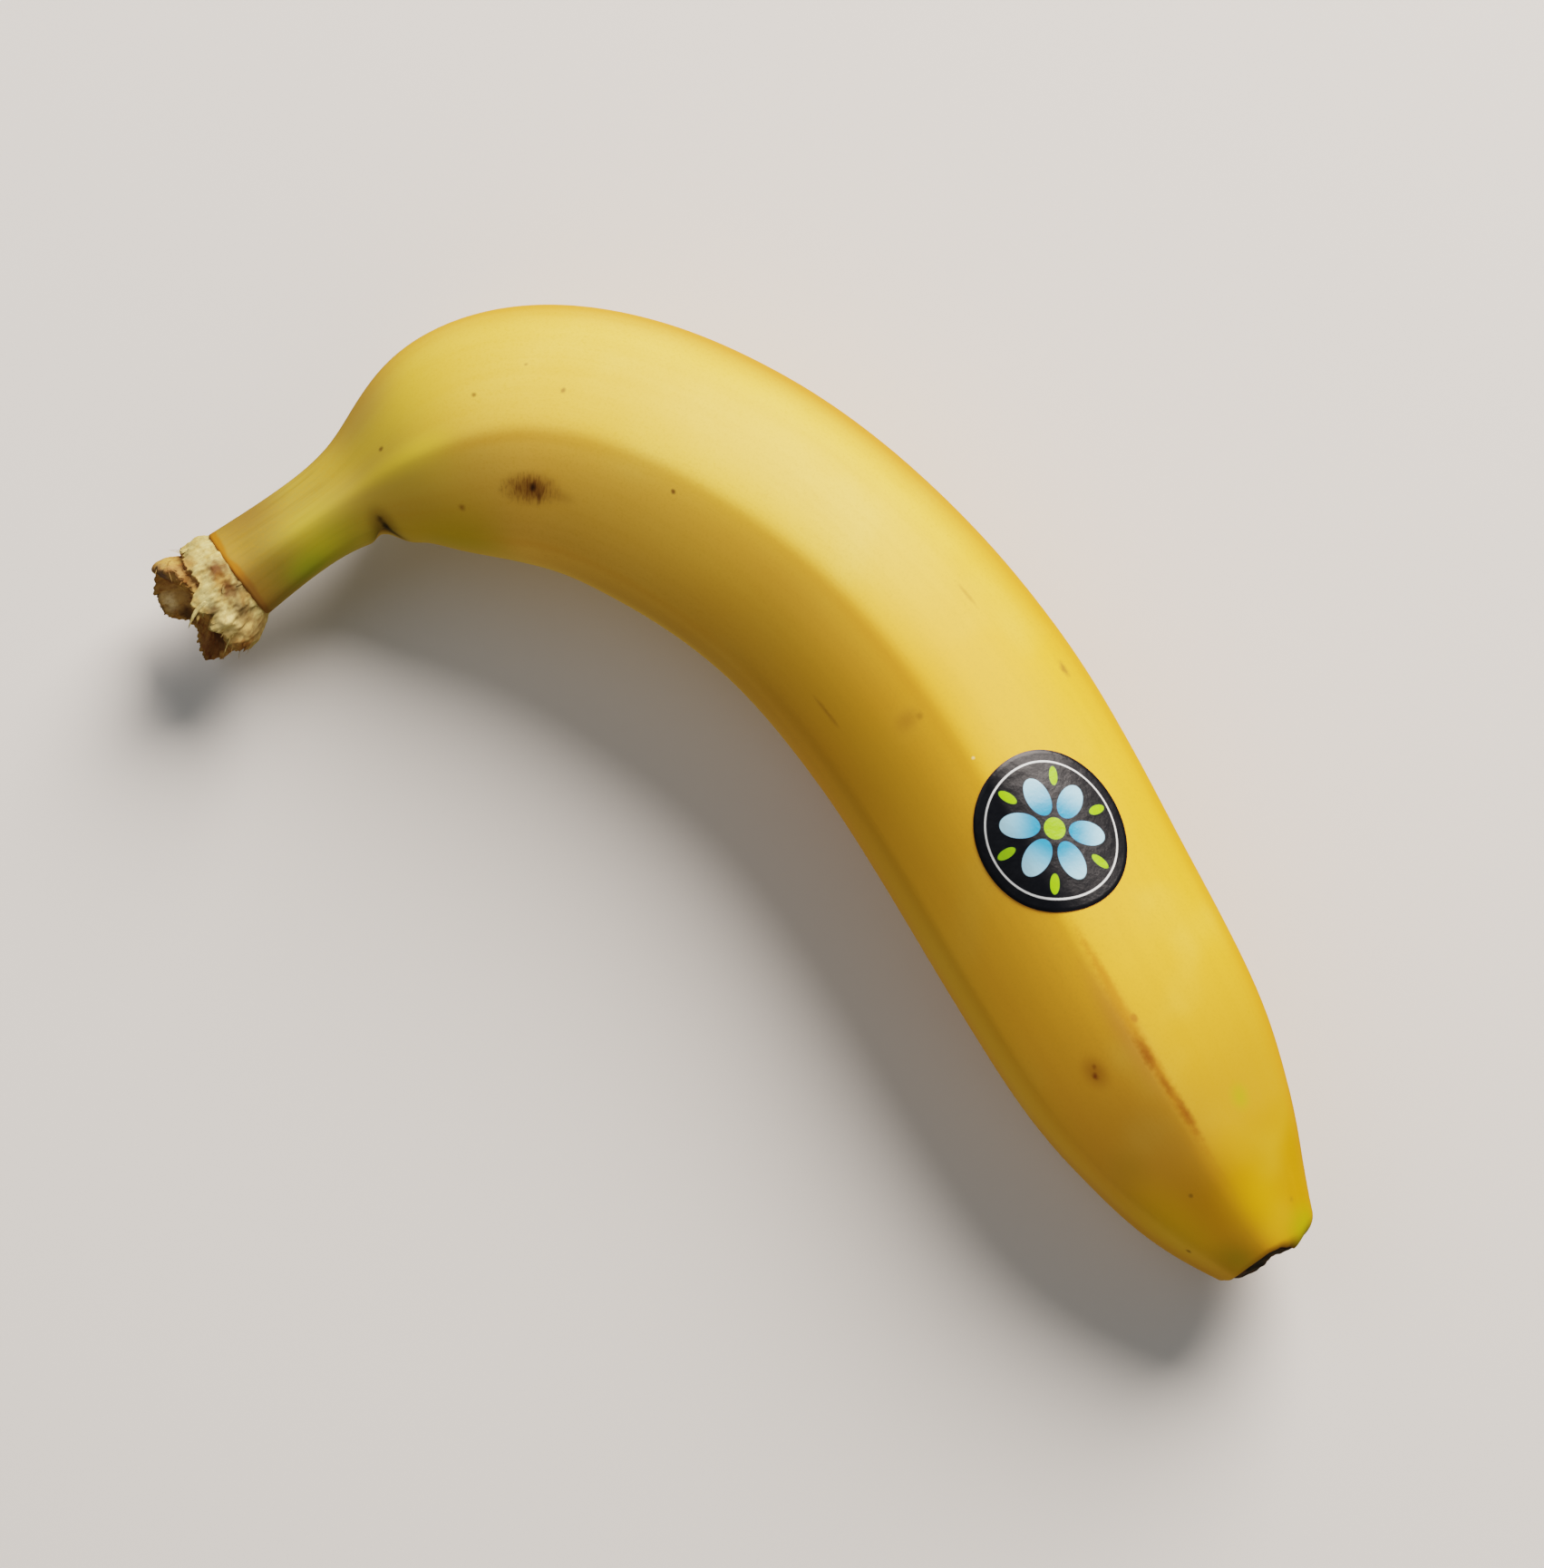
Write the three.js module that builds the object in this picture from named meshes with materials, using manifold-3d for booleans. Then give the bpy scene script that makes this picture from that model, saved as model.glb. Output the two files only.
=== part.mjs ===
// A ripe banana lying on its side: one grown fruit with a ridged peel, a torn stem end and a dried
// blossom end, and a round label stuck on top. Millimetres, +Z up, stem towards -X, the outside of
// the bow towards +Y. It rests on three low spots at z = 0.

import * as THREE from 'three';
import { mergeVertices } from 'three/addons/utils/BufferGeometryUtils.js';
import Module from 'manifold-3d';

// ---- Driving dimensions -------------------------------------------------------------------------

// The middle line of the fruit, from the edge of the peel at the stem to the tip, as control points
// of a smooth spline: x, y, z, half the width across the bow, height of the ridges as a share of it.
const stations = [
  [-86.0, -25.0, 12.0, 7.0, 0.1],
  [-81.5, -14.0, 13.25, 6.25, 0.1],
  [-77.0, -5.0, 14.75, 7.25, 0.095],
  [-72.5, 2.5, 15.75, 15.25, 0.09],
  [-65.0, 11.5, 16.0, 18.25, 0.08],
  [-52.5, 18.0, 17.25, 19.25, 0.07],
  [-32.0, 20.0, 18.75, 20.0, 0.07],
  [-9.5, 17.5, 18.25, 19.75, 0.07],
  [15.5, 8.0, 18.25, 20.5, 0.07],
  [34.0, -3.0, 18.75, 19.5, 0.08],
  [53.0, -13.5, 17.75, 19.0, 0.095],
  [65.5, -20.0, 15.0, 17.25, 0.11],
  [78.5, -26.5, 13.75, 12.75, 0.12],
  [88.5, -30.5, 13.75, 7.25, 0.12],
];
const boxMiddle = [-2.62, 0.54];           // x, y of the middle of the box, which goes over the origin

// The section is round with five soft ridges. Angles are in degrees, from the outside of the bow
// (0) over the top (90) to the inside (180) and under (270).
const section = {
  heightShare: 0.93,                       // height for a width of 1
  ridges: [25, 100, 152, 216, 294],
  turnAtStem: 5,                           // turn of all the ridges at the two ends
  turnAtTip: -6,
  rounding: 0.1,                           // softness of a ridge, 0 is a sharp edge
  tipRounding: 0.35,                       // softness at the tip
  softening: [188, 206],                   // distances between which it changes
  evenFace: 72,                            // width of a face if all five were alike
};

// Where the stem meets the body, the peel folds into a crease on the inside of the bend, and swells
// just after it.
const crease = {
  at: 21.2,                                // distance along the fruit, on the inside of the bend
  slant: -0.02,                            // shift along the fruit for each degree round it
  angle: 185,
  reach: 55,                               // degrees to each side where the crease has faded out
  depth: 2.1,
  width: 1.4,
  swell: 0.5,
  swellAfter: 3,
  swellWidth: 2,
};

// Rings of the fruit: from, to (distances along it) and how many steps between them.
const ringStretches = [
  [0, 17, 6],
  [17, 25, 10],
  [25, 35, 6],
  [35, 181, 43],
  [181, 206.25, 11],
];
const sidesPerFace = 8;

// The outside of the bow keeps its width up to the tip and ends in a round shoulder.
const shoulder = { at: 208.5, width: 5, angle: 30, reach: 40, added: 0.3 };

const tip = {
  rimStart: 206.25,                        // distance at which the rim begins
  slope: 26.6,                             // of the peel there, in degrees
  rimSteps: 4,
  // the rim round the tip: angle, how far it reaches, radius of its rounding
  rim: [
    [0, 2.8, 1.9], [30, 3.7, 2.3], [55, 4.4, 2], [70, 3.8, 1.6], [85, 3.2, 1.4], [100, 2.9, 1.3],
    [145, 2.8, 1.1], [165, 2.7, 0.9], [185, 2.2, 1], [215, 1.6, 1.2], [270, 1.5, 1.2], [330, 2, 1.6],
  ],
  middle: 2.6,                             // how far out the middle of the end is
  // dried blossom end, each ring as share of the rim's inner size and height over the rim
  driedRings: [[0.9, -0.3], [0.83, 0.2], [0.7, 0.6], [0.45, 0.9], [0.2, 0.6]],
  driedUnevenness: 0.3,
  seed: 3,
};

// The torn stem end: a core that flares out of the peel under a ragged collar of torn flesh. Its
// torn face slopes, short on top and long underneath, and holds two hollows between torn walls.
const torn = {
  // distance out of the peel, half width, shift towards the inside of the bow
  profile: [[0, 6, 0], [1.5, 6.4, 0.2], [3.5, 6.8, 0.5], [5.5, 7.2, 0.8], [9, 7.5, 0.9]],
  // where it is wider still: distance out of the peel, angle, spread of both, added radius
  flares: [[8.5, 8, 3.5, 42, 1.6], [3.5, 185, 3, 40, 0.7]],
  heightShare: 0.92,
  // how far the collar stands proud of the core, from the edge of the peel to its ragged edge
  collar: [0.3, 0.9, 1.2, 1.3, 1.1],
  collarUnevenness: 0.5,
  // how far out the collar reaches round the end: angle, distance out of the peel
  collarEdge: [
    [0, 4.4], [45, 4.9], [83, 5], [94, 7.8], [106, 7], [115, 5.8], [124, 7.4], [142, 6.5],
    [165, 6.4], [188, 4.8], [208, 3], [240, 4.6], [275, 3.2], [310, 5.2], [335, 3.6],
  ],
  collarBase: 0.3,                         // length of the step from the collar's edge down to the core
  coreSteps: 3,
  // the torn edge round the end, in the same way
  edge: [
    [0, 9.6], [28, 8.7], [52, 6.9], [110, 6.2], [165, 5.6], [190, 6.6], [214, 10], [240, 11.4],
    [280, 9.8], [306, 12.6], [330, 11.8], [348, 10.7],
  ],
  tooth: 0.9,                              // seeded unevenness of both edges
  middle: 7.3,                             // how far out the middle of the face is
  // rings over the end, as shares of its size
  endRings: [0.86, 0.68, 0.48, 0.26],
  // hollows: place across and up as shares of the end's size, radius as a share, depth in mm
  hollows: [[0.55, -0.2, 0.36, 2.4], [-0.36, -0.5, 0.34, 2.2]],
  seed: 7,
};

// Loose shreds that stand off the collar: the angle and distance out where they leave it, length,
// width, rise for each mm of length, and how many degrees they bend to a side.
const shreds = {
  places: [
    [96, 4.6, 4.4, 1.6, 0.04, 16], [60, 1.6, 3.4, 2.4, 0.2, -14], [128, 2.6, 4.6, 3, 0.16, -6],
    [164, 1.4, 4.8, 3.4, 0.22, 8], [196, 0.8, 4.2, 3, 0.3, 14], [232, 1.2, 4.6, 3.2, 0.26, -12],
    [262, 0.8, 3.8, 3, 0.3, 10], [292, 1.4, 4.6, 3.4, 0.24, -10], [322, 1, 4, 3, 0.3, 14],
    [350, 1.6, 3.6, 2.6, 0.26, -10], [20, 1.2, 3.8, 3, 0.26, 12],
  ],
  sunk: 1.1,
  thickness: 1,
  tipShare: 0.65,                          // thickness left at the tip
  tipWidthShare: 0.35,
  steps: 3,
};

const label = {
  diameter: 22,
  thickness: 0.5,
  gap: 0.42,                               // to the smooth surface under it
  at: 145.4,                               // distance of its middle along the fruit
  angle: 82.7,
  rings: 4,
  spokes: 36,
};

const look = {
  peel: { color: 0xe3bd3f, roughness: 0.48, metalness: 0 },
  label: { color: 0x101316, roughness: 0.22, metalness: 0 },
};

// ---- The middle line ----------------------------------------------------------------------------

const lastStation = stations.length - 1;
const degree = Math.PI / 180;

function stationValue(index, column) {
  if (index < 0) return 2 * stations[0][column] - stations[1][column];
  if (index > lastStation) return 2 * stations[lastStation][column] - stations[lastStation - 1][column];
  return stations[index][column];
}

// Cubic B-spline of one column of the stations; u runs from 0 to the number of the last station.
function blend(column, u) {
  const index = Math.min(Math.floor(u), lastStation - 1);
  const f = u - index;
  const weights = [(1 - f) ** 3, 3 * f ** 3 - 6 * f ** 2 + 4, -3 * f ** 3 + 3 * f ** 2 + 3 * f + 1, f ** 3];
  let sum = 0;
  weights.forEach((weight, k) => { sum += weight * stationValue(index - 1 + k, column); });
  return sum / 6;
}

class MiddleLine extends THREE.Curve {
  getPoint(t, target = new THREE.Vector3()) {
    const u = THREE.MathUtils.clamp(t, 0, 1) * lastStation;
    return target.set(blend(0, u), blend(1, u), blend(2, u));
  }
}

const middleLine = new MiddleLine();
middleLine.arcLengthDivisions = 1000;
const fruitLength = middleLine.getLength();

// Everything about the fruit at one distance along it: the middle of its section, the directions
// along, out of the bow and up, and the sizes of the section there.
function frameAt(distance) {
  const t = middleLine.getUtoTmapping(distance / fruitLength);
  const u = t * lastStation;
  const centre = middleLine.getPoint(t);
  const along = middleLine.getTangent(t);
  const out = new THREE.Vector3(-along.y, along.x, 0).normalize();
  const up = new THREE.Vector3().crossVectors(along, out);
  const turn = THREE.MathUtils.lerp(section.turnAtStem, section.turnAtTip, t);
  const { rounding: body, tipRounding, softening: [from, to] } = section;
  const rounding = THREE.MathUtils.lerp(body, tipRounding, THREE.MathUtils.smoothstep(distance, from, to));
  return { distance, centre, along, out, up, half: blend(3, u), ridge: blend(4, u), turn, rounding };
}

// ---- The section --------------------------------------------------------------------------------

// Share of the half width at a place on face number `face`, `share` of the way over it.
function ridgeShare(face, share, { ridge, rounding }) {
  const { ridges, evenFace } = section;
  const next = face + 1 < ridges.length ? ridges[face + 1] : ridges[0] + 360;
  const dip = Math.hypot(Math.sin(Math.PI * share), rounding) - rounding;
  return 1 + ridge * (0.6 - dip * ((next - ridges[face]) / evenFace) ** 1.5);
}

function faceOf(angle) {
  const { ridges } = section;
  const turned = THREE.MathUtils.euclideanModulo(angle - ridges[0], 360) + ridges[0];
  let face = ridges.length - 1;
  while (turned < ridges[face]) face -= 1;
  const next = face + 1 < ridges.length ? ridges[face + 1] : ridges[0] + 360;
  return { face, share: (turned - ridges[face]) / (next - ridges[face]) };
}

function bell(value, width) {
  return Math.exp(-((value / width) ** 2));
}

// How far an angle is from a middle one, from -180 to 180.
function offAngle(angle, middle) {
  return THREE.MathUtils.euclideanModulo(angle - middle + 180, 360) - 180;
}

// What the crease at the neck adds to the radius.
function creaseDepth(distance, angle) {
  const fromMiddle = offAngle(angle, crease.angle);
  if (Math.abs(fromMiddle) > crease.reach) return 0;
  const fade = Math.cos((fromMiddle / crease.reach) * 90 * degree) ** 2;
  const past = distance - crease.at - crease.slant * fromMiddle;
  const fold = crease.depth * bell(past, crease.width);
  const swell = crease.swell * bell(past - crease.swellAfter, crease.swellWidth);
  return fade * (swell - fold);
}

function shoulderHeight(distance, angle) {
  const { at, width, angle: middle, reach, added } = shoulder;
  return added * bell(distance - at, width) * bell(offAngle(angle, middle), reach);
}

// A point of the peel, or `lift` over it, at an angle in degrees.
function peelPoint(frame, angle, lift = 0) {
  const { face, share } = faceOf(angle - frame.turn);
  const round = frame.half * ridgeShare(face, share, frame);
  const folds = creaseDepth(frame.distance, angle) + shoulderHeight(frame.distance, angle);
  const radius = round + folds + lift;
  const point = frame.centre.clone();
  point.addScaledVector(frame.out, radius * Math.cos(angle * degree));
  point.addScaledVector(frame.up, section.heightShare * radius * Math.sin(angle * degree));
  point.z = Math.max(point.z, 0);
  return point;
}

// Angles of one ring, with a point on every ridge.
function ringAngles(turn) {
  const angles = [];
  section.ridges.forEach((start, face) => {
    const end = section.ridges[face + 1] ?? section.ridges[0] + 360;
    for (let k = 0; k < sidesPerFace; k += 1) {
      angles.push(start + ((end - start) * k) / sidesPerFace + turn);
    }
  });
  return angles;
}

// ---- Closed meshes ------------------------------------------------------------------------------

// A closed body through rings with the same number of points each, with a point at both ends.
function bodyThrough(rings, startPoint, endPoint) {
  const count = rings[0].length;
  const points = [startPoint, ...rings.flat(), endPoint];
  const last = points.length - 1;
  const faces = [];
  for (let k = 0; k < count; k += 1) {
    const next = (k + 1) % count;
    faces.push(0, 1 + next, 1 + k);
    for (let ring = 0; ring < rings.length - 1; ring += 1) {
      const here = 1 + ring * count;
      const there = here + count;
      faces.push(here + k, here + next, there + next, here + k, there + next, there + k);
    }
    const lastRing = 1 + (rings.length - 1) * count;
    faces.push(last, lastRing + k, lastRing + next);
  }
  const geometry = new THREE.BufferGeometry();
  geometry.setAttribute('position', new THREE.Float32BufferAttribute(points.flatMap((p) => p.toArray()), 3));
  geometry.setIndex(faces);
  return geometry;
}

function middleOf(points) {
  const sum = new THREE.Vector3();
  points.forEach((point) => sum.add(point));
  return sum.divideScalar(points.length);
}

const weldDistance = 1e-3;                  // vertices closer than this become one

const wasm = await Module();
wasm.setup();

function solidOf(geometry) {
  const merged = mergeVertices(geometry, weldDistance);
  return new wasm.Manifold(new wasm.Mesh({
    numProp: 3,
    vertProperties: Float32Array.from(merged.attributes.position.array),
    triVerts: Uint32Array.from(merged.index.array),
  }));
}

function geometryOf(solid) {
  const mesh = solid.getMesh();
  const geometry = new THREE.BufferGeometry();
  geometry.setAttribute('position', new THREE.BufferAttribute(mesh.vertProperties, 3));
  geometry.setIndex(new THREE.BufferAttribute(mesh.triVerts, 1));
  return geometry;
}

// The largest piece of a solid; loose scraps of a join are dropped.
function mainPiece(solid) {
  const pieces = solidOf(geometryOf(solid)).decompose();
  return pieces.reduce((best, piece) => (piece.volume() > best.volume() ? piece : best));
}

// Seeded random numbers from 0 to 1.
function randomFrom(seed) {
  let state = seed;
  return () => {
    state = (state * 16807) % 2147483647;
    return state / 2147483647;
  };
}

function between([low, high], share) {
  return low + (high - low) * share;
}

// ---- The fruit ----------------------------------------------------------------------------------

function ringDistances() {
  const distances = [0];
  ringStretches.forEach(([from, to, steps]) => {
    for (let k = 1; k <= steps; k += 1) distances.push(from + ((to - from) * k) / steps);
  });
  return distances;
}

// A value at an angle, from a few [angle, value, ...] stops round the end, smooth between them.
function roundTheEnd(stops, angle, column = 1) {
  const turned = THREE.MathUtils.euclideanModulo(angle - stops[0][0], 360) + stops[0][0];
  let k = stops.length - 1;
  while (turned < stops[k][0]) k -= 1;
  const from = stops[k];
  const to = stops[k + 1] ?? [stops[0][0] + 360, ...stops[0].slice(1)];
  return between([from[column], to[column]], THREE.MathUtils.smoothstep(turned, from[0], to[0]));
}

// Rings of the tip: on along the peel and over the rounded rim, then over the dried blossom end.
function tipRings() {
  const frame = frameAt(tip.rimStart);
  const angles = ringAngles(frame.turn);
  const random = randomFrom(tip.seed);
  const slope = tip.slope * degree;
  const pointAt = (angle, height, inset) => {
    const bulge = shoulderHeight(frame.distance + height, angle) - shoulderHeight(frame.distance, angle);
    return peelPoint(frame, angle, bulge - inset).addScaledVector(frame.along, height);
  };
  // height and inset on the rim at a share of the way round its rounding
  const onRim = (angle, share) => {
    const reach = roundTheEnd(tip.rim, angle);
    const radius = roundTheEnd(tip.rim, angle, 2);
    const straight = reach - radius * (1 - Math.sin(slope));
    const a = between([slope, 90 * degree], share);
    return {
      height: straight + radius * (Math.sin(a) - Math.sin(slope)),
      inset: straight * Math.tan(slope) + radius * (Math.cos(slope) - Math.cos(a)),
    };
  };
  const rings = [];
  for (let k = 0; k <= tip.rimSteps; k += 1) {
    rings.push(angles.map((angle) => {
      const { height, inset } = onRim(angle, k / tip.rimSteps);
      return pointAt(angle, height, inset);
    }));
  }
  const centre = frame.centre.clone();
  const edge = rings.at(-1);
  tip.driedRings.forEach(([size, over]) => {
    const uneven = over > 0 ? tip.driedUnevenness : 0;
    rings.push(edge.map((point) => {
      const offset = point.clone().sub(centre);
      const reach = offset.dot(frame.along);
      const height = between([tip.middle, reach], size ** 2) + over + uneven * (random() - 0.5);
      return offset.addScaledVector(frame.along, -reach).multiplyScalar(size)
        .addScaledVector(frame.along, height).add(centre);
    }));
  });
  return rings;
}

function peelRings() {
  return ringDistances().map((distance) => {
    const frame = frameAt(distance);
    return ringAngles(frame.turn).map((angle) => peelPoint(frame, angle));
  });
}

// ---- The torn stem end --------------------------------------------------------------------------

const stemFrame = frameAt(0);

// A point beside the stem end: out of the peel, across (towards the outside of the bow) and up.
function tornPoint(outwards, across, up) {
  return stemFrame.centre.clone()
    .addScaledVector(stemFrame.along, -outwards)
    .addScaledVector(stemFrame.out, across)
    .addScaledVector(stemFrame.up, up);
}

// Half width and shift of the core at a distance out of the peel.
function coreAt(outwards) {
  const { profile } = torn;
  let k = 0;
  while (k < profile.length - 2 && profile[k + 1][0] < outwards) k += 1;
  const [fromOut, fromHalf, fromShift] = profile[k];
  const [toOut, toHalf, toShift] = profile[k + 1];
  const share = THREE.MathUtils.clamp((outwards - fromOut) / (toOut - fromOut), 0, 1);
  return { half: between([fromHalf, toHalf], share), shift: between([fromShift, toShift], share) };
}

// What the flares add to the radius.
function flareAt(outwards, angle) {
  return torn.flares.reduce((sum, [distance, middle, spreadOut, spreadRound, added]) => (
    sum + added * bell(outwards - distance, spreadOut) * bell(offAngle(angle, middle), spreadRound)
  ), 0);
}

// A point of the core's side, `lift` over it, or inside it at a share `size` of its radius.
function corePoint(outwards, angle, lift = 0, size = 1) {
  const { half, shift } = coreAt(outwards);
  const radius = (half + flareAt(outwards, angle) + lift) * size;
  const across = radius * Math.cos(angle * degree) - shift;
  return tornPoint(outwards, across, torn.heightShare * radius * Math.sin(angle * degree));
}

// How deep the hollows are at a place on the end, given as shares of its size.
function hollowDepth(across, up) {
  return torn.hollows.reduce((deepest, [atAcross, atUp, radius, depth]) => {
    const away = Math.hypot(across - atAcross, up - atUp);
    return Math.max(deepest, depth * bell(away, radius));
  }, 0);
}

// One seeded value for each angle, alike on neighbours two by two, so that tears are a few mm wide.
function raggedValues(count, random) {
  const broad = Array.from({ length: Math.ceil(count / 2) }, () => random());
  return Array.from({ length: count }, (_, k) => 0.7 * broad[Math.floor(k / 2)] + 0.3 * random());
}

// Rings from the edge of the peel out over the collar, down to the core and over the torn end.
function tornRings(angles) {
  const random = randomFrom(torn.seed);
  const ragged = (pairs) => raggedValues(angles.length, random).map((value, k) => (
    roundTheEnd(pairs, angles[k]) + torn.tooth * (value - 0.5)));
  const reach = ragged(torn.collarEdge);
  const fibre = angles.map(() => 1 + torn.collarUnevenness * (random() - 0.5));
  const edge = ragged(torn.edge);
  const rings = [];
  torn.collar.forEach((lift, step) => {
    rings.push(angles.map((angle, k) => (
      corePoint((reach[k] * step) / (torn.collar.length - 1), angle, lift * fibre[k]))));
  });
  for (let step = 0; step <= torn.coreSteps; step += 1) {
    rings.push(angles.map((angle, k) => (
      corePoint(between([reach[k] + torn.collarBase, edge[k]], step / torn.coreSteps), angle))));
  }
  torn.endRings.forEach((size) => {
    rings.push(angles.map((angle, k) => {
      const depth = hollowDepth(size * Math.cos(angle * degree), size * Math.sin(angle * degree));
      return corePoint(between([torn.middle, edge[k]], size) - depth, angle, 0, size);
    }));
  });
  return rings;
}

// One loose shred: a tapered blade with its root sunk in the collar.
function shredBody([angle, root, length, width, rise, bend]) {
  const rings = [];
  for (let k = 0; k <= shreds.steps; k += 1) {
    const share = k / shreds.steps;
    const lift = Math.max(...torn.collar) - shreds.sunk + rise * length * share;
    const half = 0.5 * between([shreds.thickness, shreds.thickness * shreds.tipShare], share);
    const wide = 0.5 * between([width, width * shreds.tipWidthShare], share ** 2) / coreAt(root).half;
    const middle = angle + bend * share ** 2;
    const corner = (side, over) => (
      corePoint(root + length * share, middle + (side * wide) / degree, lift + over * half));
    rings.push([corner(1, -1), corner(1, 1), corner(-1, 1), corner(-1, -1)]);
  }
  return bodyThrough(rings, middleOf(rings[0]), middleOf(rings.at(-1)));
}

// ---- The whole fruit ----------------------------------------------------------------------------

function fruitGeometry() {
  const stemEnd = tornRings(ringAngles(stemFrame.turn)).reverse();
  const rings = [...stemEnd, ...peelRings(), ...tipRings()];
  let fruit = solidOf(bodyThrough(rings, middleOf(rings[0]), middleOf(rings.at(-1))));
  shreds.places.forEach((place) => { fruit = fruit.add(solidOf(shredBody(place))); });
  return geometryOf(mainPiece(fruit));
}

// ---- The label ----------------------------------------------------------------------------------

// A point of the label's round outline or inside it, `lift` over the peel.
function labelPoint(radius, spoke, lift) {
  const along = radius * Math.cos(spoke);
  const around = radius * Math.sin(spoke);
  const frame = frameAt(label.at + along);
  return peelPoint(frame, label.angle + around / frame.half / degree, lift);
}

function labelGeometry() {
  const spokes = Array.from({ length: label.spokes }, (_, k) => (k * 360 * degree) / label.spokes);
  const top = label.gap + label.thickness;
  const ringAt = (k, lift) => spokes.map((spoke) => (
    labelPoint((0.5 * label.diameter * k) / label.rings, spoke, lift)));
  const rings = [];
  for (let k = 1; k <= label.rings; k += 1) rings.push(ringAt(k, top));
  for (let k = label.rings; k >= 1; k -= 1) rings.push(ringAt(k, label.gap));
  return bodyThrough(rings, labelPoint(0, 0, top), labelPoint(0, 0, label.gap));
}

// ---- The part -----------------------------------------------------------------------------------

function namedMesh(name, geometry, finish) {
  const mesh = new THREE.Mesh(geometry, new THREE.MeshStandardMaterial(finish));
  mesh.name = name;
  return mesh;
}

const group = new THREE.Group();
group.add(namedMesh('banana', fruitGeometry(), look.peel));
group.add(namedMesh('label', labelGeometry(), look.label));
group.position.set(-boxMiddle[0], -boxMiddle[1], 0);

export default group;
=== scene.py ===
import math
from bisect import bisect_right
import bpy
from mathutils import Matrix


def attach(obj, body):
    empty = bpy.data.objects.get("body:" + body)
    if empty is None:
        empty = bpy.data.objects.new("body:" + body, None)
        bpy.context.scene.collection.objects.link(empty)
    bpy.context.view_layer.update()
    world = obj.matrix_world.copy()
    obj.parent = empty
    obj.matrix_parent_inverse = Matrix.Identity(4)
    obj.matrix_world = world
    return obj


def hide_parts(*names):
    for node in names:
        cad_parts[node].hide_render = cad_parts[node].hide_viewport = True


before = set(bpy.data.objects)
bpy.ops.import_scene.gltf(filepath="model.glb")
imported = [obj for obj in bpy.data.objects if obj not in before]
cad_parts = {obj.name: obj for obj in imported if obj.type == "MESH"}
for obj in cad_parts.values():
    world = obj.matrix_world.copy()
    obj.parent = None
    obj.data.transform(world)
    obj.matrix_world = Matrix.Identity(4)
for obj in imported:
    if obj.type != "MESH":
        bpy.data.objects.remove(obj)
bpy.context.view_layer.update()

from types import SimpleNamespace

import bmesh
import bpy
from mathutils import Vector, noise

mm = 0.001
degree = math.pi / 180
weldWithin = 0.001  # mm


camera = {  # lengths in mm, angles in degrees
    "aimAt": (-1.58, -12.32, 19.0),
    "distance": 642.0,
    "azimuth": 32.0,
    "elevation": 78.0,
    "lens": 105.0,
    "sees": (0.01, 20),  # nearest and farthest, in metres
}


def spokeOf(angle):  # across and up for a spoke of length 1
    return math.cos(angle * degree), math.sin(angle * degree)


def directionOf(azimuth, elevation):  # from the fruit towards a camera or a lamp
    flat, high = spokeOf(elevation)
    cos, sin = spokeOf(azimuth)
    return Vector((sin * flat, -cos * flat, high))


def standAt(thing, aim, azimuth, elevation, distance):
    back = directionOf(azimuth, elevation)
    thing.rotation_euler = back.to_track_quat("Z", "Y").to_euler()
    thing.location = (Vector(aim) + back * distance) * mm
    bpy.context.scene.collection.objects.link(thing)


def placeCamera():
    data = bpy.data.cameras.new("camera")
    data.lens = camera["lens"]
    data.clip_start, data.clip_end = camera["sees"]
    thing = bpy.data.objects.new("camera", data)
    standAt(thing, camera["aimAt"], camera["azimuth"], camera["elevation"], camera["distance"])
    bpy.context.scene.camera = thing
    print(f"camera: {data.lens} mm lens")


fruit = {  # lengths in mm, angles in degrees from the outside of the bow over the top
    # x, y, z of the middle line, half the width, height of the ridges as a share of it
    "stations": [
        (-86.0, -25.0, 12.0, 7.0, 0.1), (-81.5, -14.0, 13.25, 6.25, 0.1),
        (-77.0, -5.0, 14.75, 7.25, 0.095), (-72.5, 2.5, 15.75, 15.25, 0.09),
        (-65.0, 11.5, 16.0, 18.25, 0.08), (-52.5, 18.0, 17.25, 19.25, 0.07),
        (-32.0, 20.0, 18.75, 20.0, 0.07), (-9.5, 17.5, 18.25, 19.75, 0.07),
        (15.5, 8.0, 18.25, 20.5, 0.07), (34.0, -3.0, 18.75, 19.5, 0.08),
        (53.0, -13.5, 17.75, 19.0, 0.095), (65.5, -20.0, 15.0, 17.25, 0.11),
        (78.5, -26.5, 13.75, 12.75, 0.12), (88.5, -30.5, 13.75, 7.25, 0.12),
    ],
    "middle": (-2.62, 0.54),  # goes over the origin
    "heightShare": 0.93,
    "ridges": (25, 100, 152, 216, 294),
    "ridgePeak": 0.6,  # share of a ridge's height that stands over the half width
    "evenFace": 72,  # width in degrees of a face that dips by the whole height
    "dipPower": 1.5,  # how much deeper wider faces dip
    "turnAtStem": 5,
    "turnAtTip": -6,
    "seam": -90,  # where the skin's map starts, underneath
    # softness of the ridges: distance, softness, where 0 is a sharp edge
    "softness": [(0, 0.4), (16, 0.35), (32, 0.1), (186, 0.1), (206, 0.75)],
    "inset": 0.06,  # how far the skin lies under the plain section
    "unevenness": 0.22,
    "unevenEvery": 15.0,
    "unevenFrom": 15,  # half width from which the skin is fully uneven
}

crease = {  # the fold where the stem meets the body, on the inside of the bend
    "at": 21.2, "slant": -0.02, "angle": 185, "reach": 55, "depth": 2.1, "width": 1.4,
    "swell": 0.5, "swellAfter": 3, "swellWidth": 2,
}

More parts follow.
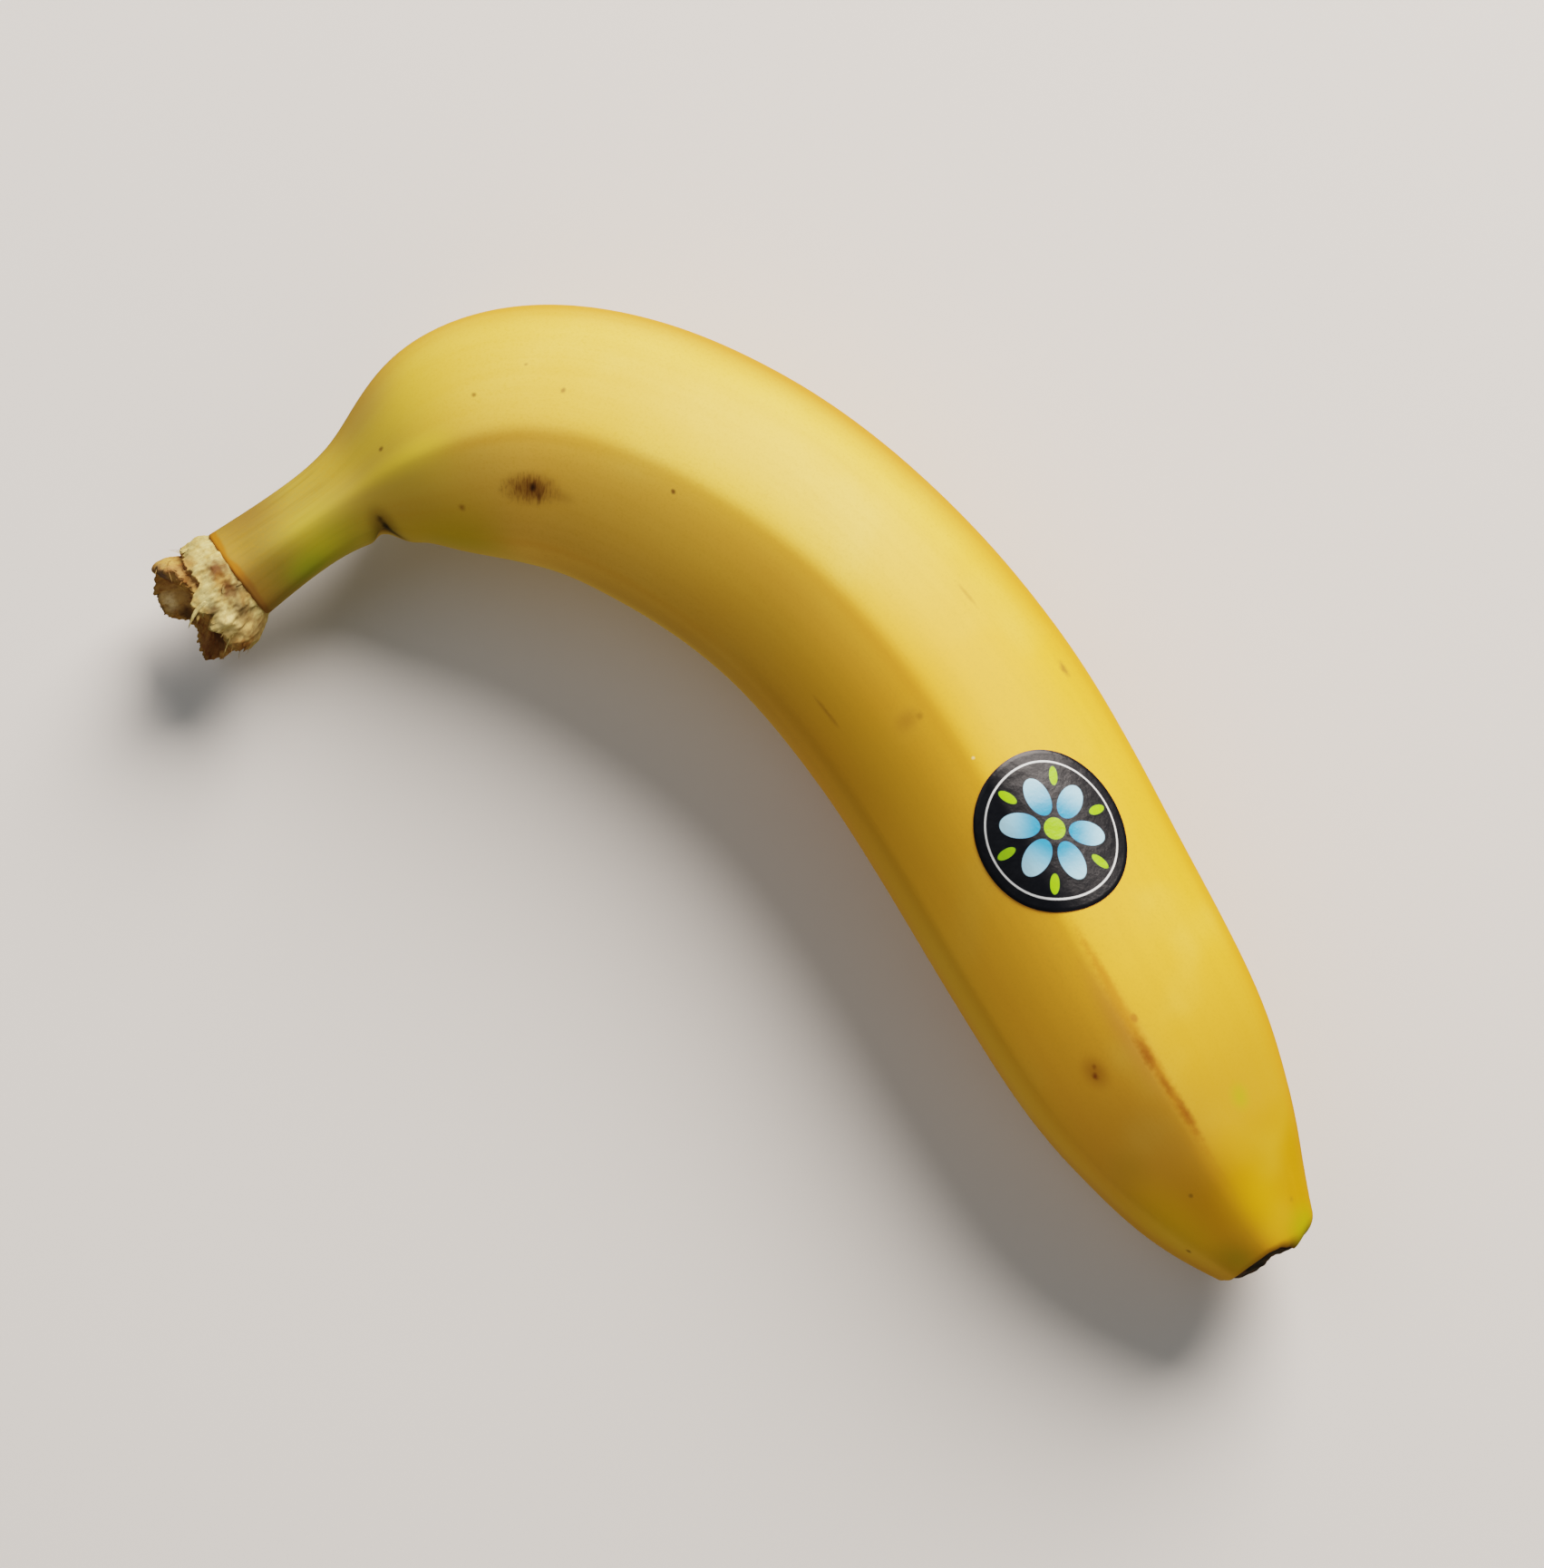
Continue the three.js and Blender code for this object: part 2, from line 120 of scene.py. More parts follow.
# the outside of the bow keeps its width up to the tip and ends in a round shoulder
shoulder = {"at": 208.5, "width": 5, "angle": 30, "reach": 40, "added": 0.3}

lastStation = len(fruit["stations"]) - 1
lineSteps = 4000


def mix(low, high, share):
    return low + (high - low) * share


def ease(share):  # smooth from 0 to 1
    return share * share * (3 - 2 * share)


def bell(value, width):
    return math.exp(-((value / width) ** 2))


def offAngle(angle, middle):
    return (angle - middle + 180) % 360 - 180


def through(stops, value, column=1):  # smooth from stop to stop, each with its place first
    value = min(max(value, stops[0][0]), stops[-1][0])
    k = max(k for k in range(len(stops) - 1) if value >= stops[k][0])
    share = (value - stops[k][0]) / (stops[k + 1][0] - stops[k][0])
    return mix(stops[k][column], stops[k + 1][column], ease(share))


def roundTheEnd(stops, angle, column=1):  # the same for stops placed by their angle
    turned = (angle - stops[0][0]) % 360 + stops[0][0]
    return through(stops + [(stops[0][0] + 360, *stops[0][1:])], turned, column)


def stationValue(index, column):
    rows = fruit["stations"]
    if index < 0:
        return 2 * rows[0][column] - rows[1][column]
    if index > lastStation:
        return 2 * rows[-1][column] - rows[-2][column]
    return rows[index][column]


def splineAt(u):  # the five station values at u, from 0 to lastStation, and the direction there
    index = min(int(u), lastStation - 1)
    f = u - index
    weights = ((1 - f) ** 3, 3 * f**3 - 6 * f**2 + 4, -3 * f**3 + 3 * f**2 + 3 * f + 1, f**3)
    slopes = (-((1 - f) ** 2), 3 * f**2 - 4 * f, -3 * f**2 + 2 * f + 1, f**2)
    near = [[stationValue(index - 1 + k, column) for k in range(4)] for column in range(5)]
    values = [sum(w * value for w, value in zip(weights, row)) / 6 for row in near]
    along = Vector([sum(w * value for w, value in zip(slopes, row)) for row in near[:3]])
    return values, along.normalized()


def measureLine():  # distance along the line at each of its steps
    points = [Vector(splineAt(lastStation * k / lineSteps)[0][:3]) for k in range(lineSteps + 1)]
    reached = [0.0]
    for one, other in zip(points, points[1:]):
        reached.append(reached[-1] + (other - one).length)
    return reached


lineReached = measureLine()
fruitLength = lineReached[-1]
rings = {}


def ringAt(distance):  # everything about the section at one distance along the fruit
    if distance not in rings:
        inside = min(max(distance, 0.0), fruitLength)
        step = min(bisect_right(lineReached, inside), lineSteps) - 1
        share = (inside - lineReached[step]) / (lineReached[step + 1] - lineReached[step])
        t = (step + share) / lineSteps
        (x, y, z, half, ridge), along = splineAt(t * lastStation)
        out = Vector((-along.y, along.x, 0)).normalized()
        centre = Vector((x - fruit["middle"][0], y - fruit["middle"][1], z))
        centre += along * (distance - inside)
        rings[distance] = SimpleNamespace(
            distance=distance, centre=centre, along=along, out=out, up=along.cross(out),
            half=half, ridge=ridge, soft=through(fruit["softness"], distance),
            turn=fruit["turnAtStem"] + (fruit["turnAtTip"] - fruit["turnAtStem"]) * t)
    return rings[distance]


def faceAt(turned):  # the face at an angle from the turned ridges, share of its width, its width
    ridges = fruit["ridges"]
    turned = (turned - ridges[0]) % 360 + ridges[0]
    face = max(k for k, ridge in enumerate(ridges) if turned >= ridge)
    width = (*ridges, ridges[0] + 360)[face + 1] - ridges[face]
    return face, (turned - ridges[face]) / width, width


def ridgeShare(turned, ring):  # share of the half width at an angle from the turned ridges
    _, share, width = faceAt(turned)
    dip = math.hypot(math.sin(math.pi * share), ring.soft) - ring.soft
    dip *= (width / fruit["evenFace"]) ** fruit["dipPower"]
    return 1 + ring.ridge * (fruit["ridgePeak"] - dip)


def creaseAt(distance, angle):  # how deep and how swollen the fold is there, from 0 to 1
    fromMiddle = offAngle(angle, crease["angle"])
    if abs(fromMiddle) > crease["reach"]:
        return 0.0, 0.0
    share = math.cos(fromMiddle / crease["reach"] * 90 * degree) ** 2
    past = distance - crease["at"] - crease["slant"] * fromMiddle
    fold = bell(past, crease["width"])
    swell = bell(past - crease["swellAfter"], crease["swellWidth"])
    return share * fold, share * swell


def shoulderAt(distance, angle):
    across = bell(offAngle(angle, shoulder["angle"]), shoulder["reach"])
    return shoulder["added"] * bell(distance - shoulder["at"], shoulder["width"]) * across


def skinPoint(distance, angle, lift=0.0):  # a point of the skin, or lift over it, in mm
    ring = ringAt(distance)
    fold, swell = creaseAt(distance, angle)
    radius = ring.half * ridgeShare(angle - ring.turn, ring) - fruit["inset"] + lift
    radius += crease["swell"] * swell - crease["depth"] * fold + shoulderAt(distance, angle)
    cos, sin = spokeOf(angle)
    wave = noise.noise(Vector((distance, ring.half * cos, ring.half * sin)) / fruit["unevenEvery"])
    radius -= fruit["unevenness"] * (0.5 + 0.5 * wave) * min(1, ring.half / fruit["unevenFrom"])
    point = ring.centre + ring.out * (radius * cos) + ring.up * (fruit["heightShare"] * radius * sin)
    point.z = max(point.z, 0)
    return point


def steps(stops):  # numbers through stops of (value, steps from the one before)
    values = [stops[0][0]]
    for value, count in stops[1:]:
        start = values[-1]
        values += [mix(start, value, k / count) for k in range(1, count + 1)]
    return values


def wrapSheet(bm, rows, columns, placeAt):
    # a flat grid; placeAt(row, column share) gives a point in mm, its tone and its place on the map
    tones = bm.verts.layers.float.get("tone") or bm.verts.layers.float.new("tone")
    skinMap = bm.loops.layers.uv.get("skin") or bm.loops.layers.uv.new("skin")
    verts = bmesh.ops.create_grid(bm, x_segments=rows, y_segments=columns, size=0.5)["verts"]
    placed = {}
    for vert in verts:
        row = round((vert.co.x + 0.5) * rows)
        placed[vert] = placeAt(row, round((vert.co.y + 0.5) * columns) / columns)
    faces = {face for vert in verts for face in vert.link_faces}
    for face in faces:
        face.smooth = True
        for loop in face.loops:
            loop[skinMap].uv = placed[loop.vert][2]
    for vert, (point, tone, _) in placed.items():
        vert.co = point * mm
        vert[tones] = tone
    bmesh.ops.remove_doubles(bm, verts=verts, dist=weldWithin * mm)


def objectFrom(name, bm, material):
    mesh = bpy.data.meshes.new(name)
    bm.to_mesh(mesh)
    bm.free()
    mesh.materials.append(material)
    thing = bpy.data.objects.new(name, mesh)
    bpy.context.scene.collection.objects.link(thing)
    print(f"{name}: {len(mesh.polygons)} faces")
    return thing


def makePiece(name, bm, material, node):
    bmesh.ops.recalc_face_normals(bm, faces=bm.faces)
    piece = objectFrom(name, bm, material)
    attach(piece, "root")
    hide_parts(node)


def colour(name):  # "#rrggbb" as a linear colour
    shades = [int(name[k:k + 2], 16) / 255 for k in (1, 3, 5)]
    return [s / 12.92 if s < 0.04045 else ((s + 0.055) / 1.055) ** 2.4 for s in shades] + [1]


def feed(tree, node, inputs):  # sockets are linked, plain values are set
    for name, value in inputs.items():
        if isinstance(value, bpy.types.NodeSocket):
            tree.links.new(value, node.inputs[name])
        else:
            node.inputs[name].default_value = value


def addNode(tree, kind, inputs, **settings):
    node = tree.nodes.new("ShaderNode" + kind)
    for name, value in settings.items():
        setattr(node, name, value)
    feed(tree, node, inputs)
    return node


def calc(tree, operation, *values):
    return addNode(tree, "Math", dict(enumerate(values)), operation=operation).outputs[0]


def times(tree, one, other):
    return calc(tree, "MULTIPLY", one, other)


def less(tree, one, other):
    return calc(tree, "SUBTRACT", one, other)


def fade(tree, value, low, high, to=1.0):  # 0 up to low, `to` from high on, smooth between
    inputs = {"Value": value, "From Min": low, "From Max": high, "To Max": to}
    return addNode(tree, "MapRange", inputs, interpolation_type="SMOOTHSTEP").outputs[0]


def blend(tree, share, first, second, how="MIX"):
    inputs = {0: share, 6: first, 7: second}
    return addNode(tree, "Mix", inputs, data_type="RGBA", blend_type=how).outputs[2]


def veil(tree, mixed, value, low, high, strength, name, how="MIX"):  # a colour where a value is high
    return blend(tree, fade(tree, value, low, high, strength), mixed, colour(name), how)


def noiseOf(tree, place, scale, detail=2.0, roughness=0.5):
    inputs = {"Vector": place, "Scale": scale, "Detail": detail, "Roughness": roughness}
    return addNode(tree, "TexNoise", inputs).outputs["Fac"]


def streaksOf(tree, place, sizes, detail=3.0, roughness=0.5):  # noise stretched along one axis
    drawn = addNode(tree, "Mapping", {"Vector": place, "Scale": sizes}).outputs[0]
    return noiseOf(tree, drawn, 1, detail, roughness)


def newMaterial(name):
    material = bpy.data.materials.new(name)
    material.use_nodes = True
    tree = material.node_tree
    return material, tree, tree.nodes["Principled BSDF"]


def objectPlace(tree):
    return addNode(tree, "TexCoord", {}).outputs["Object"]


def mapPlace(tree):
    return addNode(tree, "UVMap", {}, uv_map="skin").outputs[0]


def toneOf(tree):
    return addNode(tree, "Attribute", {}, attribute_name="tone").outputs["Fac"]


def withTintAndPaintedLight(tree, mixed):  # the soft tints kept in the mesh, some of them painted light and shade, over another colour
    tintAndPaintedLight = addNode(tree, "Attribute", {}, attribute_name="tintAndPaintedLight")
    return blend(tree, tintAndPaintedLight.outputs["Alpha"], mixed, tintAndPaintedLight.outputs["Color"])


def setLook(tree, shader, look, mixed, roughness, height):  # with the surface's own values
    distance, strength = look["bump"]
    inputs = {"Height": height, "Distance": distance * mm, "Strength": strength}
    bump = addNode(tree, "Bump", inputs).outputs[0]
    inputs = {"Base Color": mixed, "Roughness": roughness, "Normal": bump}
    feed(tree, shader, inputs | {"Specular IOR Level": look["specular"]})


def layOver(layers):  # colour of layers of (share, colour) on each other, and how much they cover
    mixed, cover = Vector((0, 0, 0)), 0.0
    for share, name in layers:
        mixed = mixed * (1 - share) + Vector(colour(name)[:3]) * share
        cover = 1 - (1 - cover) * (1 - share)
    return (*(mixed / max(cover, 1e-6)), cover)


peel = {
    "columns": 200,
    # rings along the body: distance, steps
    "rows": [(0.0, 0), (2, 6), (18, 24), (26, 32), (60, 56), (176, 170), (206.25, 56)],
    # the cut edge at the stem, from inside: distance, lift
    "cutEdge": [(1.2, -1.7), (0.3, -1.6), (-0.15, -1.2), (-0.3, -0.8), (-0.28, -0.4), (-0.15, -0.12)],
}

tip = {
    "start": 206.25,  # distance at which the rim begins
    "slope": 26.6,  # of the peel there, in degrees
    # the rim round the tip: angle, how far it reaches, radius of its rounding
    "rim": [
        (0, 2.8, 2.2), (30, 3.7, 2.9), (55, 4.4, 2.9), (70, 3.8, 2.1), (85, 3.2, 1.5), (100, 2.9, 1.3),
        (145, 2.8, 1.1), (165, 2.7, 0.9), (185, 2.2, 1), (215, 1.6, 1.2), (270, 1.5, 1.2), (330, 2, 1.6)],
    "middle": 2.6,  # how far out the middle of the end is
    "rows": [(7, 0.35), (10, 0.12)],  # of the side and of the rim: how many, mm on the map for each
    # inside the rim, as shares of its inner size and heights over it
    "recess": [(0.985, -0.1), (0.95, -0.45), (0.87, -0.9), (0.7, -1.4), (0.4, -1.8), (0.0, -2.0)],
}


def rimPoint(angle, way):  # way: from 0 to 1 on along the peel, from 1 to 2 over the rounding
    ring = ringAt(tip["start"])
    reach, radius = roundTheEnd(tip["rim"], angle, 1), roundTheEnd(tip["rim"], angle, 2)
    slope = tip["slope"] * degree
    height = (reach - radius * (1 - math.sin(slope))) * min(way, 1)
    inset = height * math.tan(slope)
    turn = mix(slope, 90 * degree, max(way - 1, 0))
    height += radius * (math.sin(turn) - math.sin(slope))
    inset += radius * (math.cos(slope) - math.cos(turn))
    bulge = shoulderAt(ring.distance + height, angle) - shoulderAt(ring.distance, angle)
    return skinPoint(ring.distance, angle, bulge - inset) + ring.along * height


def endPoint(angle, size, over):  # inside the rim
    ring = ringAt(tip["start"])
    offset = rimPoint(angle, 2) - ring.centre
    reach = offset.dot(ring.along)
    height = mix(tip["middle"], reach, size**2) + over
    return ring.centre + (offset - ring.along * reach) * size + ring.along * height


def peelRows():  # for each row: its kind, distance on the map and values
    rows = [("skin", distance, (distance, lift)) for distance, lift in peel["cutEdge"]]
    rows += [("skin", distance, (distance, 0.0)) for distance in steps(peel["rows"])]
    for start, (count, rowLength) in enumerate(tip["rows"]):
        for k in range(1, count + 1):
            rows.append(("rim", rows[-1][1] + rowLength, (start + k / count,)))
    for values in tip["recess"]:
        rows.append(("end", rows[-1][1] + rowLength, values))
    return rows


def makePeel(material):
    rows = peelRows()

    def placeAt(row, share):
        kind, travelled, values = rows[row]
        angle = 360 * share + fruit["seam"] + ringAt(min(travelled, tip["start"])).turn
        onMap = (travelled / fruitLength, share)
        if kind == "skin":
            distance, lift = values
            # the fold's depth goes out as tone, for the painted shade in the fold
            return skinPoint(distance, angle, lift), creaseAt(distance, angle)[0], onMap
        point = rimPoint(angle, *values) if kind == "rim" else endPoint(angle, *values)
        return point, 0.0, onMap

    bm = bmesh.new()
    wrapSheet(bm, len(rows) - 1, peel["columns"], placeAt)
    tintAndPaintedLightLayer = bm.verts.layers.float_color.new("tintAndPaintedLight")
    skinMap = bm.loops.layers.uv["skin"]
    for vert in bm.verts:
        u, v = vert.link_loops[0][skinMap].uv
        vert[tintAndPaintedLightLayer] = tintAndPaintedLightAt(u * fruitLength, 360 * v + fruit["seam"])
    makePiece("peel", bm, material, "banana")


skin = {
    # base colour along the fruit: distance in mm, colour
    "along": [
        (0, "#8c7336"), (6, "#948240"), (14, "#af9848"), (24, "#ccab4c"), (34, "#e0b450"), (50, "#f8be5a"),
        (80, "#fec357"), (100, "#febd4e"), (118, "#ffb03a"), (165, "#f8ad3a"), (190, "#cd9332"),
        (198, "#be8708"), (205, "#ba8300"), (212, "#b88300")],
    # clouds: size and detail of their noise, where they fade in from and to, strength, colour
    "clouds": [(38, 3, 0.35, 0.7, 0.25, "#e6a026"), (55, 2, 0.5, 0.75, 0.22, "#fad470")],
    # streaks along the fruit: sizes of their noise, from, to, strength, colour
    "streaks": ((0.02, 0.16, 1), 0.4, 0.75, 0.14, "#d49424"),
    "stemStreaks": ((0.07, 0.13, 1), 0.45, 0.7, 0.4, "#8c7020"),
    "stemStreaksEnd": (12, 30),  # distances between which they fade away
    "speckle": (2600, 3, 0.7),  # size, detail and roughness of the noise
    "speckleShows": (0.45, 0.75, 0.3, "#cf9124"),
    "roughness": (0.5, 0.75),  # of the clean peel and of dark marks
    "darkToClean": (0.1, 0.4),  # lightness of dark marks and of the clean peel
    "specular": 0.2,
    "fibre": (0.12, 1.1, 1),  # sizes of the fine fibres that show in the gloss
    "speckleHeight": 0.5,  # beside the fibres
    "bump": (0.05, 0.25),  # height in mm, strength
    # soft tints: distance, angle, half length and half width in mm, colour, strength; some are painted
    # light and some painted shade, as noted beside them
    "tints": [
        # painted light: (29, 108, ...) lightens the stem beside its ridge at about 100 degrees, where it
        # turns into shade
        (28, 72, 13, 14, "#c8b43c", 0.4), (29, 108, 12, 7, "#f0c850", 0.5),
        # painted light: both tints on this line brighten the stem's ridge at about 100 degrees, where it
        # turns into shade
        (18, 99, 16, 4, "#e8c462", 0.6), (28, 98, 11, 2.8, "#ffd84c", 0.75),
        (6, 34, 8, 6, "#85652f", 0.75), (32, 158, 16, 11, "#c0a408", 0.8),
        # painted shade: (20.8, 166, ...) darkens the crease under the stem
        (20.8, 166, 3.2, 5.6, "#3a240c", 0.85), (13, 141, 13, 9, "#aca60e", 0.75),
        (5, 130, 8, 10, "#6c5c20", 0.62), (9, 147, 6, 4, "#7c9404", 0.5),
        (26, 45, 8, 6, "#a5874a", 0.45), (0, 70, 4, 8, "#ba9048", 0.4),
        (0, 130, 4, 8, "#8a6424", 0.5), (27, 36, 9, 5, "#b08a48", 0.4),
        # (122, 136, ...) makes the inner face ochre: partly its own colour, partly painted shade
        (50, 136, 30, 9, "#d6a43a", 0.25), (122, 136, 98, 17, "#bc8f24", 0.8),
        # painted light: (158, 164, ...) brightens the underside towards the tip, as light thrown up from
        # the ground would
        (158, 164, 58, 9, "#ffc43a", 0.62), (95, 110, 50, 6, "#d89a38", 0.45),
        (82, 172, 46, 8, "#b07c14", 0.5), (112, 101, 36, 2.6, "#d08a2c", 0.45),
        # painted light: (200, 150, ...) brightens the shaded side at the tip
        (200, 150, 14, 7, "#e0b010", 0.7), (188, 66, 3, 2.6, "#a5a624", 0.6),
        (188.5, 138, 5, 4, "#a8861c", 0.3), (209.2, 50, 4.6, 4.8, "#9c9a0a", 0.8),
        (207.5, 132, 5, 4, "#968408", 0.65), (203, 96, 8, 8, "#d49a00", 0.8),
        (172, 101.5, 15, 2.8, "#c98740", 0.6), (80, 20, 80, 6, "#de9036", 0.8),
        (172, 21, 62, 6, "#da8a24", 0.72), (80, 28, 90, 7, "#a85014", 0.42),
        (57.5, 128.5, 3.5, 1.5, "#8e6018", 0.3), (122, 112, 2.2, 3, "#a87420", 0.5),
        (50.2, 126.5, 8.8, 3.4, "#7c5212", 0.8), (51.5, 127, 3.5, 2.2, "#5e3008", 0.45),
        # painted shade: (22, 144, ...) here and (21.8, 177, ...) below darken the crease and its rim under
        # the stem
        (174.5, 122.5, 3.2, 2.6, "#a06814", 0.75), (22, 144, 2.6, 5, "#54380f", 0.6),
        (21.8, 177, 2.8, 3.4, "#33240e", 0.88),
    ],
    # marks with an uneven edge: the same, and the share of their size that is fully covered
    "marks": [
        (178, 98.6, 24, 1.3, "#c07818", 0.75, 0.0), (164, 97.6, 9, 0.9, "#c87a1c", 0.65, 0.0),
        (175.8, 99.2, 4, 1.15, "#8a4c08", 0.8, 0.0), (186, 97.8, 6, 1.0, "#8c4e06", 0.8, 0.0),
        (171, 96, 0.9, 0.65, "#9a4c14", 0.55, 0.2), (180.5, 98.8, 3, 0.7, "#985a10", 0.75, 0.1),
        (51, 126, 1.2, 1.1, "#2c1404", 0.9, 0.0), (52.5, 130.5, 0.7, 1.7, "#482206", 0.7, 0.0),
        (174.9, 123.5, 0.8, 0.7, "#6e3608", 0.85, 0.0), (173.8, 121.5, 0.6, 0.5, "#84500c", 0.7, 0.0),
        (41, 81, 0.55, 0.55, "#7f5f22", 0.8, 0.2), (53.5, 82.5, 0.5, 0.65, "#8a6830", 0.75, 0.2),
        (48, 69, 0.4, 0.4, "#98783a", 0.65, 0.2), (27, 82.5, 0.5, 0.5, "#75551e", 0.8, 0.2),
        (73.5, 108, 0.5, 0.55, "#644214", 0.85, 0.2), (34.5, 134.5, 0.9, 0.85, "#845410", 0.7, 0.0),
        (112, 58.5, 3.2, 0.55, "#c48a2c", 0.75, 0.1), (126.5, 39, 1.7, 1.0, "#8a6426", 0.8, 0.0),
        (113, 138, 5, 0.5, "#94681a", 0.6, 0.0), (122.6, 107, 0.9, 0.8, "#946818", 0.5, 0.0),
        (196.5, 121.5, 0.5, 0.5, "#83600f", 0.75, 0.1), (202.5, 157, 0.55, 0.55, "#74540f", 0.75, 0.1),
        (205, 55.5, 0.6, 0.6, "#9c7612", 0.65, 0.1), (132, 99, 0.35, 0.35, "#fbe9b0", 0.6, 0.2),
        # painted shade: these two darken the crease under the stem
        (22.1, 155, 0.7, 4.0, "#1c1006", 0.92, 0.15), (22, 135, 0.8, 1.1, "#4a3614", 0.6, 0.0),
        # the hidden sides
        (70, 235, 1.0, 0.8, "#7a5420", 0.75, 0.1), (128, 262, 3.2, 1.6, "#8f6426", 0.5, 0.0),
        (96, 305, 0.6, 0.5, "#7d5c24", 0.7, 0.1), (150, 332, 0.5, 0.5, "#82602a", 0.7, 0.1),
        (160, 214, 9, 0.6, "#a26f22", 0.55, 0.0), (44, 340, 0.5, 0.6, "#86652c", 0.7, 0.1),
        (110, 196, 0.6, 0.6, "#7e5a20", 0.7, 0.1),
    ],
    # the bruise, which is made of short strokes across the fruit
    "bruise": {
        "at": (50.1, 126.8, 8, 3),  # distance, angle, half length, half width
        "covered": 0.4,
        "strokeSizes": (0.4, 5),  # mm from one to the next, degrees round the fruit
        "strokeShows": (0.36, 0.7),
        "strength": 0.58,
        "colour": "#5a3008",
    },
    "wobble": (1300, 3, 0.35),  # size and detail of the unevenness of marks' edges, and how strong
    # a line along each ridge: strength, half width and shift in degrees, distances where it fades in
    "ridgeLine": {"colour": "#dd9420", "strength": 0.24, "halfWidth": 5.0, "shift": 3.0, "from": (25, 45)},
    "fold": (0.3, 1.0, 0.75, "#4a3614"),  # painted shade in the fold under the stem: depth from, to, strength, colour
    "cutEdge": {  # the dried edge of the peel at the stem
        "upper": "#ac6a12",
        "lower": "#805a24",
        "upperAngle": 62,
        "turnsLower": (25, 60),  # degrees away from there
        "noise": (260, 3),
        "width": 1.71,  # mm
        "blur": (-0.25, 0.35),
        "strength": 0.85,
    },
    "tipEdge": ("#6e4a14", 0.5, 0.9),  # colour, width in mm, strength
}


def tintAndPaintedLightAt(distance, turned):  # colour of the soft tints at a place, painted light and shade among them, and how much they cover
    layers = []
    for along, angle, halfLength, halfWidth, name, strength in skin["tints"]:
        apart = offAngle(turned, angle) * degree * ringAt(along).half
        away = math.hypot((distance - along) / halfLength, apart / halfWidth)
        if away < 1:
            layers.append((strength * ease(1 - away), name))
    return layOver(layers)


def placeOf(tree):  # distance along the fruit in mm and angle round it in degrees
    inputs = {"Vector": mapPlace(tree), "Scale": (fruitLength, 360, 1), "Location": (0, fruit["seam"], 0)}
    return addNode(tree, "Mapping", inputs).outputs[0]


def patchOf(tree, spot, wobble, covered, along, angle, halfLength, halfWidth):  # 1 inside, 0 outside
    scale, scaleRound = 1 / halfLength, ringAt(along).half * degree / halfWidth
    inputs = {"Vector": spot, "Scale": (scale, scaleRound, 0)}
    inputs["Location"] = (-along * scale, -angle * scaleRound, 0)
    offset = addNode(tree, "Mapping", inputs).outputs[0]
    offset = addNode(tree, "VectorMath", {0: offset, 1: wobble}, operation="ADD").outputs[0]
    away = addNode(tree, "VectorMath", {0: offset}, operation="LENGTH").outputs["Value"]
    return less(tree, 1, fade(tree, away, covered, 1))


def rampOf(tree, value, stops):
    ramp = addNode(tree, "ValToRGB", {0: value})
    while len(ramp.color_ramp.elements) < len(stops):
        ramp.color_ramp.elements.new(1)
    for element, (position, name) in zip(ramp.color_ramp.elements, stops):
        element.position = position
        element.color = colour(name)
    return ramp.outputs[0]


def baseColour(tree, place, spot, along, speckle):
    reach = skin["along"][-1][0]
    stops = [(distance / reach, name) for distance, name in skin["along"]]
    mixed = rampOf(tree, calc(tree, "DIVIDE", along, reach), stops)
    for size, detail, *look in skin["clouds"]:
        mixed = veil(tree, mixed, noiseOf(tree, place, size, detail), *look)
    sizes, *look = skin["streaks"]
    mixed = veil(tree, mixed, streaksOf(tree, spot, sizes), *look)
    sizes, *limits, name = skin["stemStreaks"]
    onStem = less(tree, 1, fade(tree, along, *skin["stemStreaksEnd"]))
    share = times(tree, fade(tree, streaksOf(tree, spot, sizes), *limits), onStem)
    mixed = blend(tree, share, mixed, colour(name))
    return veil(tree, mixed, speckle, *skin["speckleShows"])


def withRidgeLines(tree, mixed, along, around):
    line = skin["ridgeLine"]
    present = fade(tree, along, *line["from"], line["strength"])
    for ridge in fruit["ridges"]:
        aside = calc(tree, "ABSOLUTE", less(tree, around, ridge + line["shift"]))
        near = less(tree, 1, fade(tree, aside, 0, line["halfWidth"]))
        mixed = blend(tree, times(tree, near, present), mixed, colour(line["colour"]))
    return mixed


def withMarks(tree, mixed, place, spot):
    size, detail, strength = skin["wobble"]
    coarse = addNode(tree, "TexNoise", {"Vector": place, "Scale": size, "Detail": detail}).outputs["Color"]
    inputs = {"Vector": coarse, "Scale": (2 * strength,) * 3, "Location": (-strength,) * 3}
    wobble = addNode(tree, "Mapping", inputs).outputs[0]

    bruise = skin["bruise"]
    patch = patchOf(tree, spot, wobble, bruise["covered"], *bruise["at"])
    spacing, length = bruise["strokeSizes"]
    strokes = streaksOf(tree, spot, (1 / spacing, 1 / length, 0), 2)
    strokes = fade(tree, strokes, *bruise["strokeShows"], bruise["strength"])
    mixed = blend(tree, times(tree, patch, strokes), mixed, colour(bruise["colour"]))

    for *at, name, strength, covered in skin["marks"]:
        patch = patchOf(tree, spot, wobble, covered, *at)
        mixed = blend(tree, times(tree, patch, strength), mixed, colour(name))
    return mixed


